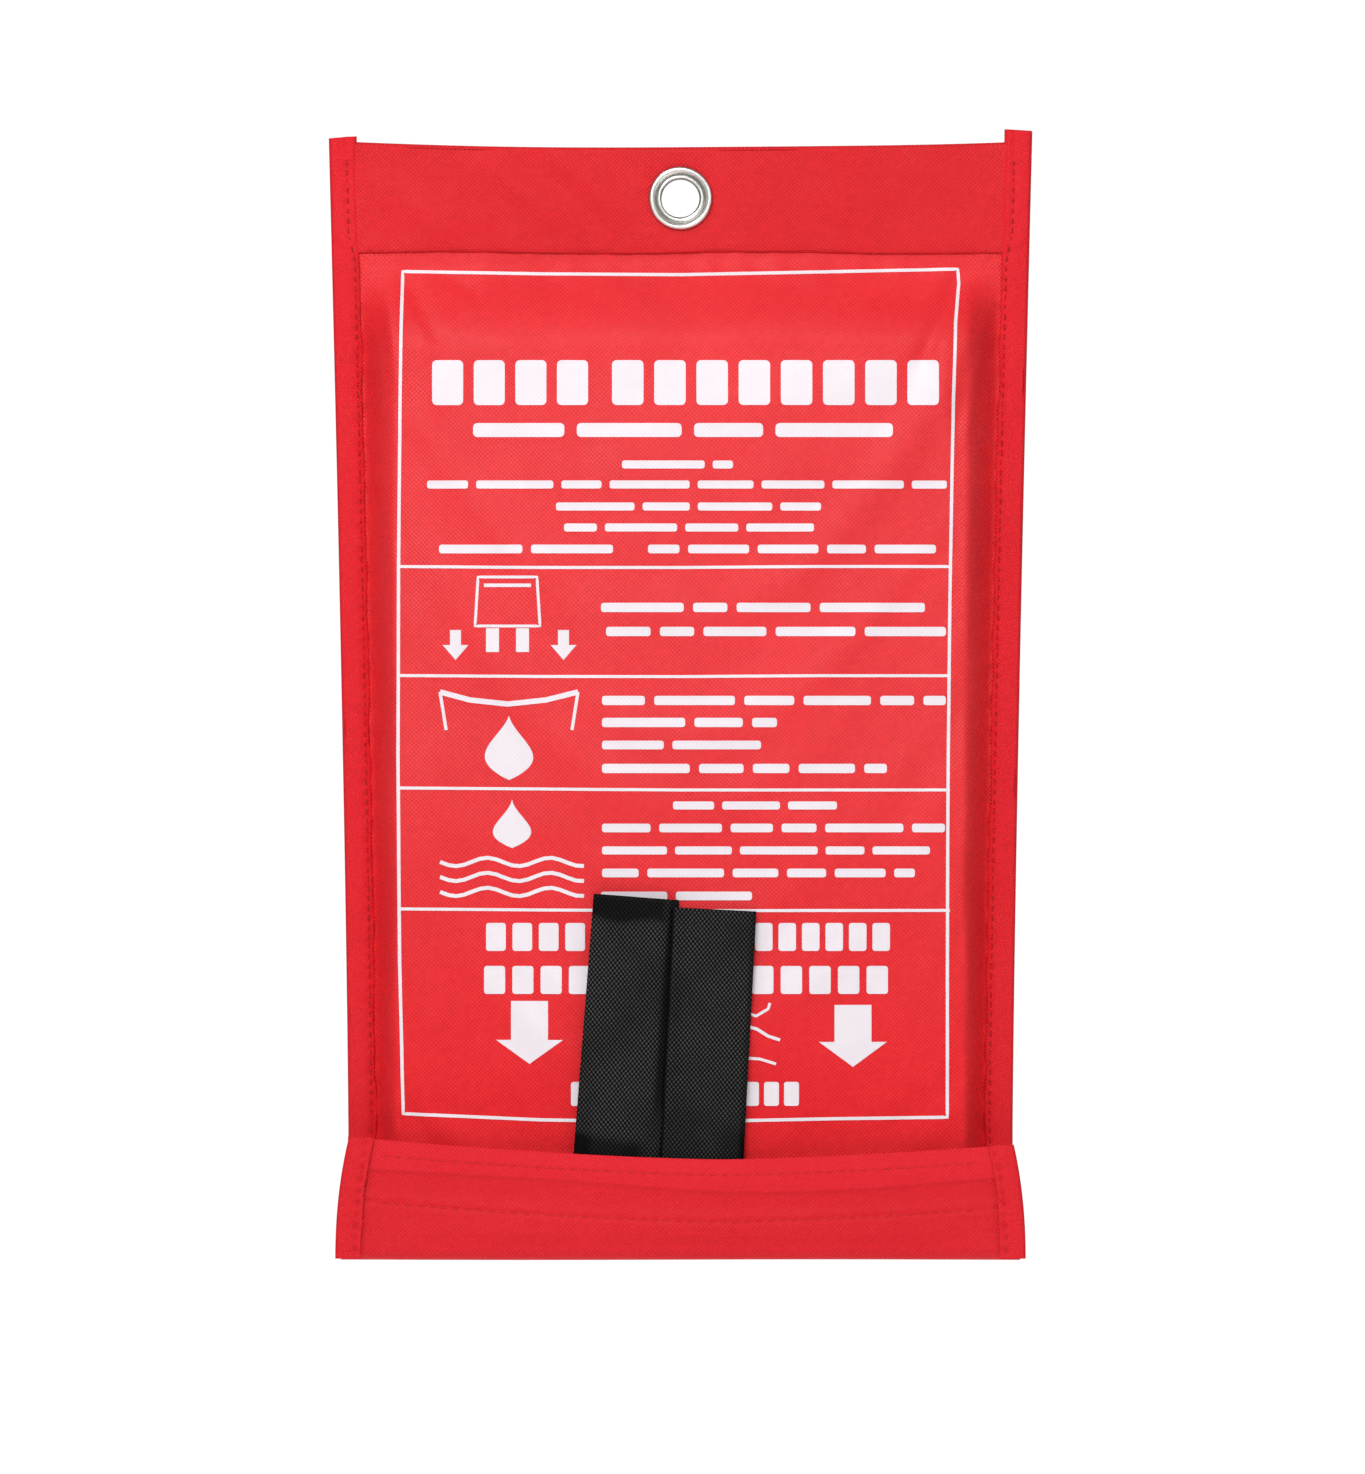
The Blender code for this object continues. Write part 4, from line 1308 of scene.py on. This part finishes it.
def fill(z, left, right, columns=9):
    """A filled shape between left and right at the heights z, bottom to top."""
    x = np.linspace(left, np.maximum(right, left + 0.05), columns, axis=1)
    ink(x, z[:, None] + 0 * x)


def rectangle(left, right, bottom, top):
    z = np.linspace(bottom, top, max(4, int((top - bottom) / FILL_ROW) + 2))
    fill(z, left + 0 * z, right + 0 * z)


def bar(left, right, bottom, top, corner):
    """A filled bar with rounded corners."""
    corner = min(corner, (top - bottom) / 2, (right - left) / 2)
    rows = max(2, int((top - bottom) / BAR_ROW) + 2)
    turn = np.linspace(0, math.pi / 2, 5)
    z = np.concatenate([
        bottom + corner * (1 - np.cos(turn)),
        np.linspace(bottom + corner, top - corner, rows)[1:-1],
        top - corner * (1 - np.cos(turn[::-1])),
    ])
    over = np.maximum(0.0, corner - np.minimum(z - bottom, top - z))
    cut = corner - np.sqrt(np.maximum(0.0, corner ** 2 - over ** 2))
    fill(z, left + cut, right - cut, max(4, int((right - left) / BAR_COL) + 2))


def words(left, right, top, height, seed, share=0.62):
    """Plain bars as long as words that stand for a line of small type."""
    rng = np.random.RandomState(seed)
    tall = height * share
    middle = top - height / 2
    x = left
    while x < right - tall:
        width = height * rng.uniform(2.2, 6.5)
        if right - (x + width) < 1.6 * height:
            width = right - x
        bar(x, x + width, middle - tall / 2, middle + tall / 2, tall * 0.3)
        x += width + 0.62 * height


def blocks(left, right, top, height, count):
    """Even blocks that stand for large type."""
    gap = 0.34                           # as a share of a block
    width = (right - left) / (count + (count - 1) * gap)
    for k in range(count):
        x = left + k * width * (1 + gap)
        bar(x, x + width, top - height, top, height * 0.1)


def arrow(x, top, neck, tip, shaft, head):
    """An arrow that points down: shaft and head are widths, neck is where they meet."""
    rectangle(x - shaft / 2, x + shaft / 2, neck, top)
    z = np.linspace(tip, neck, 14)
    half = head / 2 * (z - tip) / (neck - tip)
    fill(z, x - half, x + half)


def drop(x, top, height, half, left_power, right_power, rows):
    """A pointed drop, widest low down; the powers set how low on each side."""
    down = np.linspace(1, 0, rows)
    left, right = [half * np.sin(math.pi * down ** power) ** 0.9 + 0.056564
                   for power in (left_power, right_power)]
    fill(top - height * down, x - left, x + right)


# border round the print, clockwise from its top left corner: x, z
BORDER = (
    (-78.904, 280.182), (-39.734, 279.475), (0.144, 279.192), (42.284, 280.041),
    (78.768, 280.889), (79.050, 276.930), (77.919, 265.334), (77.212, 244.405),
    (76.222, 186.710), (75.657, 130.146), (75.515, 84.895), (75.515, 40.351),
    (42.284, 39.927), (0.144, 39.078), (-39.734, 39.644), (-78.480, 41.341),
    (-79.470, 84.895), (-79.894, 141.459), (-79.753, 198.023), (-79.329, 244.405),
)
# dividers: z at the left, z at the right
DIVIDERS = ((196.185, 196.185), (165.357, 165.301), (133.540, 132.975), (99.319, 98.895))
DIVIDER_SAG = 0.28282
# large type: left, right, top, height, number of blocks
TITLE = ((-70.2783, -26.1584, 254.5870, 12.72688, 4), (-19.3708, 73.1112, 254.5870, 12.72688, 8))
CAPTIONS = (
    (-55.0060, -27.0069, 95.3595, 7.91895, 4), (-23.3302, 17.3958, 95.3595, 7.91895, 6),
    (21.0724, 59.2531, 95.3595, 7.91895, 6), (-55.5717, -25.5928, 83.1983, 7.91895, 4),
    (-21.9162, 15.9817, 83.1983, 7.91895, 5), (20.2240, 58.6874, 83.1983, 7.91895, 5),
    (-30.9664, -3.5329, 50.3912, 6.78767, 5), (0.9922, 33.5165, 50.3912, 6.78767, 6),
)
# small type: left, right, top, height
SMALL, MEDIUM, LARGE = 3.676655, 3.959475, 4.242294
LINES = (
    (-16.5426, 14.8504, 226.8707, SMALL), (-71.6924, 75.3738, 221.2143, SMALL),
    (-35.2087, 39.7385, 214.9922, SMALL), (-32.9461, 37.7588, 209.0530, SMALL),
    (-68.2986, -19.0880, 203.1138, MEDIUM), (-9.1893, 72.2628, 203.1138, MEDIUM),
    (-22.4818, 69.1518, 186.7103, LARGE), (-21.0677, 75.0910, 179.9226, LARGE),
    (-22.1990, 75.0910, 160.4080, LARGE), (-22.1990, 27.2945, 154.1860, LARGE),
    (-22.1990, 22.7693, 147.6812, MEDIUM), (-22.1990, 58.4046, 141.1763, LARGE),
    (-2.1188, 44.2636, 130.4292, SMALL), (-22.1990, 74.8082, 124.2071, MEDIUM),
    (-22.1990, 70.5659, 117.7023, SMALL), (-22.1990, 66.3236, 111.4803, MEDIUM),
    (-22.4818, 20.2240, 104.9754, MEDIUM),
)

stroke(BORDER, 0.92, closed=True)
for left, right in DIVIDERS:
    middle = (left + right) / 2 - DIVIDER_SAG
    stroke([(-79.611, left), (-39.734, left - DIVIDER_SAG), (0.144, middle), (39.456, right),
            (76.222, right)], 0.85)
for row in TITLE:
    blocks(*row)
words(-58.6827, 60.1015, 237.6178, 5.656393, seed=3, share=0.7)
for seed, row in enumerate(LINES, 4):
    words(*row, seed=seed)
for row in CAPTIONS:
    blocks(*row)
# two large arrows and three short strokes near the bottom
arrow(-42.703, top=73.300, neck=62.270, tip=55.482, shaft=10.464, head=18.949)
arrow(48.789, top=72.168, neck=61.704, tip=54.634, shaft=10.464, head=19.232)
stroke([(19.093, 69.906), (21.355, 69.057), (24.749, 71.037), (25.315, 72.734)], 0.8)
stroke([(18.527, 66.229), (21.638, 65.381), (24.749, 63.401), (28.143, 62.270)], 0.9)
stroke([(18.527, 57.179), (22.487, 56.896), (27.012, 55.482)], 0.8)
# symbol 1: pouch with two tapes to pull
stroke([(-57.269, 193.215), (-40.582, 193.215), (-39.734, 179.357), (-58.117, 179.357)], 0.8,
       closed=True)
rectangle(-55.572, -42.279, 190.387, 191.377)
rectangle(-55.006, -51.329, 172.004, 178.735)
rectangle(-46.521, -42.845, 172.004, 178.735)
for x in (-63.632, -33.088):
    arrow(x, top=178.2257, neck=173.9834, tip=169.7411, shaft=3.111, head=7.3533)
# symbol 2: flame under a held sheet
stroke([(-68.016, 160.691), (-59.531, 158.428), (-48.784, 157.297), (-38.037, 158.428),
        (-28.987, 160.691)], 1.5)
stroke([(-68.016, 160.691), (-66.319, 149.944)], 0.9)
stroke([(-28.987, 160.691), (-30.684, 149.944)], 0.9)
drop(-48.501, top=153.903, height=18.1005, half=6.7877, left_power=1.5, right_power=1.6, rows=26)
# symbol 3: drop over three waves
drop(-47.653, top=130.146, height=13.5753, half=5.3736, left_power=1.7, right_power=1.7, rows=24)
for z in (112.6115, 108.3692, 104.1269):
    stroke([(-68.01575 + 2.262557 * k, z - 1.187842 * math.sin(k * 0.8)) for k in range(19)], 1.1)

starts = np.cumsum([0] + [len(verts) for verts, _ in prints])
shape = (np.concatenate([verts for verts, _ in prints]),
         np.concatenate([faces + start for (_, faces), start in zip(prints, starts)]))
ride(mesh("front_print", shape, white_print, angle=40), "pouch", "white_print")


# ------------------------------------------------------------------ floor
WHITE = (1, 1, 1, 1)
BACKDROP = 1.02                          # brightness of what the camera sees behind the pouch


def floor_material():
    mat = bpy.data.materials.new("pale_floor")
    mat.use_nodes = True
    tree = mat.node_tree
    shader = tree.nodes["Principled BSDF"]
    for key, value in (("Base Color", (0.94, 0.94, 0.94, 1)), ("Roughness", 0.9),
                       ("Emission Color", WHITE), ("Emission Strength", 0.30)):
        shader.inputs[key].default_value = value
    # seen directly it is plain white, like the studio behind it
    seen = add_node(tree, "LightPath").outputs["Is Camera Ray"]
    white = add_node(tree, "Emission", {"Color": WHITE, "Strength": BACKDROP}).outputs[0]
    above = add_node(tree, "MixShader", {"Fac": seen, 1: shader.outputs[0], 2: white}).outputs[0]
    # and from below it is clear, so the underside can be looked at
    below = add_node(tree, "NewGeometry").outputs["Backfacing"]
    clear = add_node(tree, "BsdfTransparent").outputs[0]
    both = add_node(tree, "MixShader", {"Fac": below, 1: above, 2: clear}).outputs[0]
    tree.links.new(both, tree.nodes["Material Output"].inputs["Surface"])
    return mat


bpy.ops.mesh.primitive_plane_add(size=3.0, location=(0, 0, -0.36))
floor = bpy.context.object
floor.name = "floor"
floor.data.materials.append(floor_material())


# ------------------------------------------------------------------ world
def build_world():
    """White to the camera, a soft gradient as light, and its own pattern for reflections."""
    world = bpy.data.worlds.new("studio")
    world.use_nodes = True
    bpy.context.scene.world = world
    tree = world.node_tree
    path = add_node(tree, "LightPath").outputs
    seen = add_node(tree, "Background", {"Color": WHITE, "Strength": BACKDROP}).outputs[0]
    look = add_node(tree, "TexCoord").outputs["Generated"]
    split = add_node(tree, "SeparateXYZ", {0: look}).outputs

    # light: darker below and at the horizon
    ramp = add_node(tree, "ValToRGB", {"Fac": split["Z"]})
    stops = ramp.color_ramp.elements
    stops[0].position, stops[0].color = 0.0, (0.55, 0.55, 0.55, 1)
    stops[1].position, stops[1].color = 0.55, WHITE
    for position, grey in ((0.06, 0.5), (0.16, 0.9)):
        stops.new(position).color = (grey, grey, grey, 1)
    light = tree.nodes["Background"]
    fill_input(tree, light, "Color", ramp.outputs["Color"])
    fill_input(tree, light, "Strength", 0.33)

    # what polished parts mirror: bright ahead, darker to the sides, with slanting bands
    ahead = add_node(
        tree, "MapRange",
        {"From Min": -0.90, "From Max": -0.15, "To Min": 0.92, "To Max": 0.16,
         "Value": split["Y"]},
        interpolation_type="SMOOTHSTEP").outputs["Result"]
    streak = add_node(tree, "VectorMath", {0: look, 1: (6.5, 0.0, 3.5)},
                      operation="DOT_PRODUCT").outputs["Value"]
    wave = add_node(tree, "Math", {0: streak}, operation="SINE").outputs[0]
    swing, middle = 0.22, 0.92
    band = add_node(tree, "Math", {0: wave, 1: swing, 2: middle},
                    operation="MULTIPLY_ADD").outputs[0]
    level = add_node(tree, "Math", {0: ahead, 1: band}, operation="MULTIPLY").outputs[0]
    mirror = add_node(tree, "Background", {"Color": WHITE, "Strength": level}).outputs[0]

    lit = add_node(tree, "MixShader",
                   {"Fac": path["Is Glossy Ray"], 1: light.outputs[0], 2: mirror}).outputs[0]
    both = add_node(tree, "MixShader", {"Fac": path["Is Camera Ray"], 1: lit, 2: seen})
    tree.links.new(both.outputs[0], tree.nodes["World Output"].inputs["Surface"])


build_world()


# ------------------------------------------------------------------ lights and camera, in metres
def area(name, at, width, power, height=None):
    """An area light aimed at the middle of the pouch."""
    light = bpy.data.lights.new(name, "AREA")
    light.shape = "RECTANGLE"
    light.size, light.size_y = width, height or width
    light.energy = power
    obj = bpy.data.objects.new(name, light)
    bpy.context.scene.collection.objects.link(obj)
    obj.location = at
    aim = Vector((0, 0, 0.16)) - Vector(at)
    obj.rotation_euler = aim.to_track_quat("-Z", "Y").to_euler()


area("front_box", at=(-0.22, -1.08, 0.74), width=0.62, height=0.5, power=9.3)
area("top_box", at=(-0.55, -0.55, 1.25), width=0.45, power=3.8)
area("fill", at=(1.1, -0.9, 0.5), width=0.8, power=2.6)
area("back_box", at=(0.5, 1.25, 0.85), width=0.8, power=6.0)

# camera, in millimetres: it looks along +y and sees VIEW_WIDTH across the plane y = VIEW_Y
CAMERA_X, CAMERA_Z = 0.57, 147.96
CAMERA_DISTANCE, VIEW_Y, VIEW_WIDTH = 3200.0, 4.0, 418.616
SENSOR = 36.0

scene = bpy.context.scene
set_all(scene.view_settings, view_transform="Standard", look="None", exposure=0.0, gamma=1.0)
camera = bpy.data.cameras.new("camera")
set_all(camera, sensor_width=SENSOR, lens=SENSOR * CAMERA_DISTANCE / VIEW_WIDTH,
        clip_start=0.01, clip_end=30.0)
camera_object = bpy.data.objects.new("camera", camera)
scene.collection.objects.link(camera_object)
camera_object.location = (CAMERA_X / 1000, frame_y(VIEW_Y - CAMERA_DISTANCE), CAMERA_Z / 1000)
camera_object.rotation_euler = (math.pi / 2, 0, 0)
scene.camera = camera_object
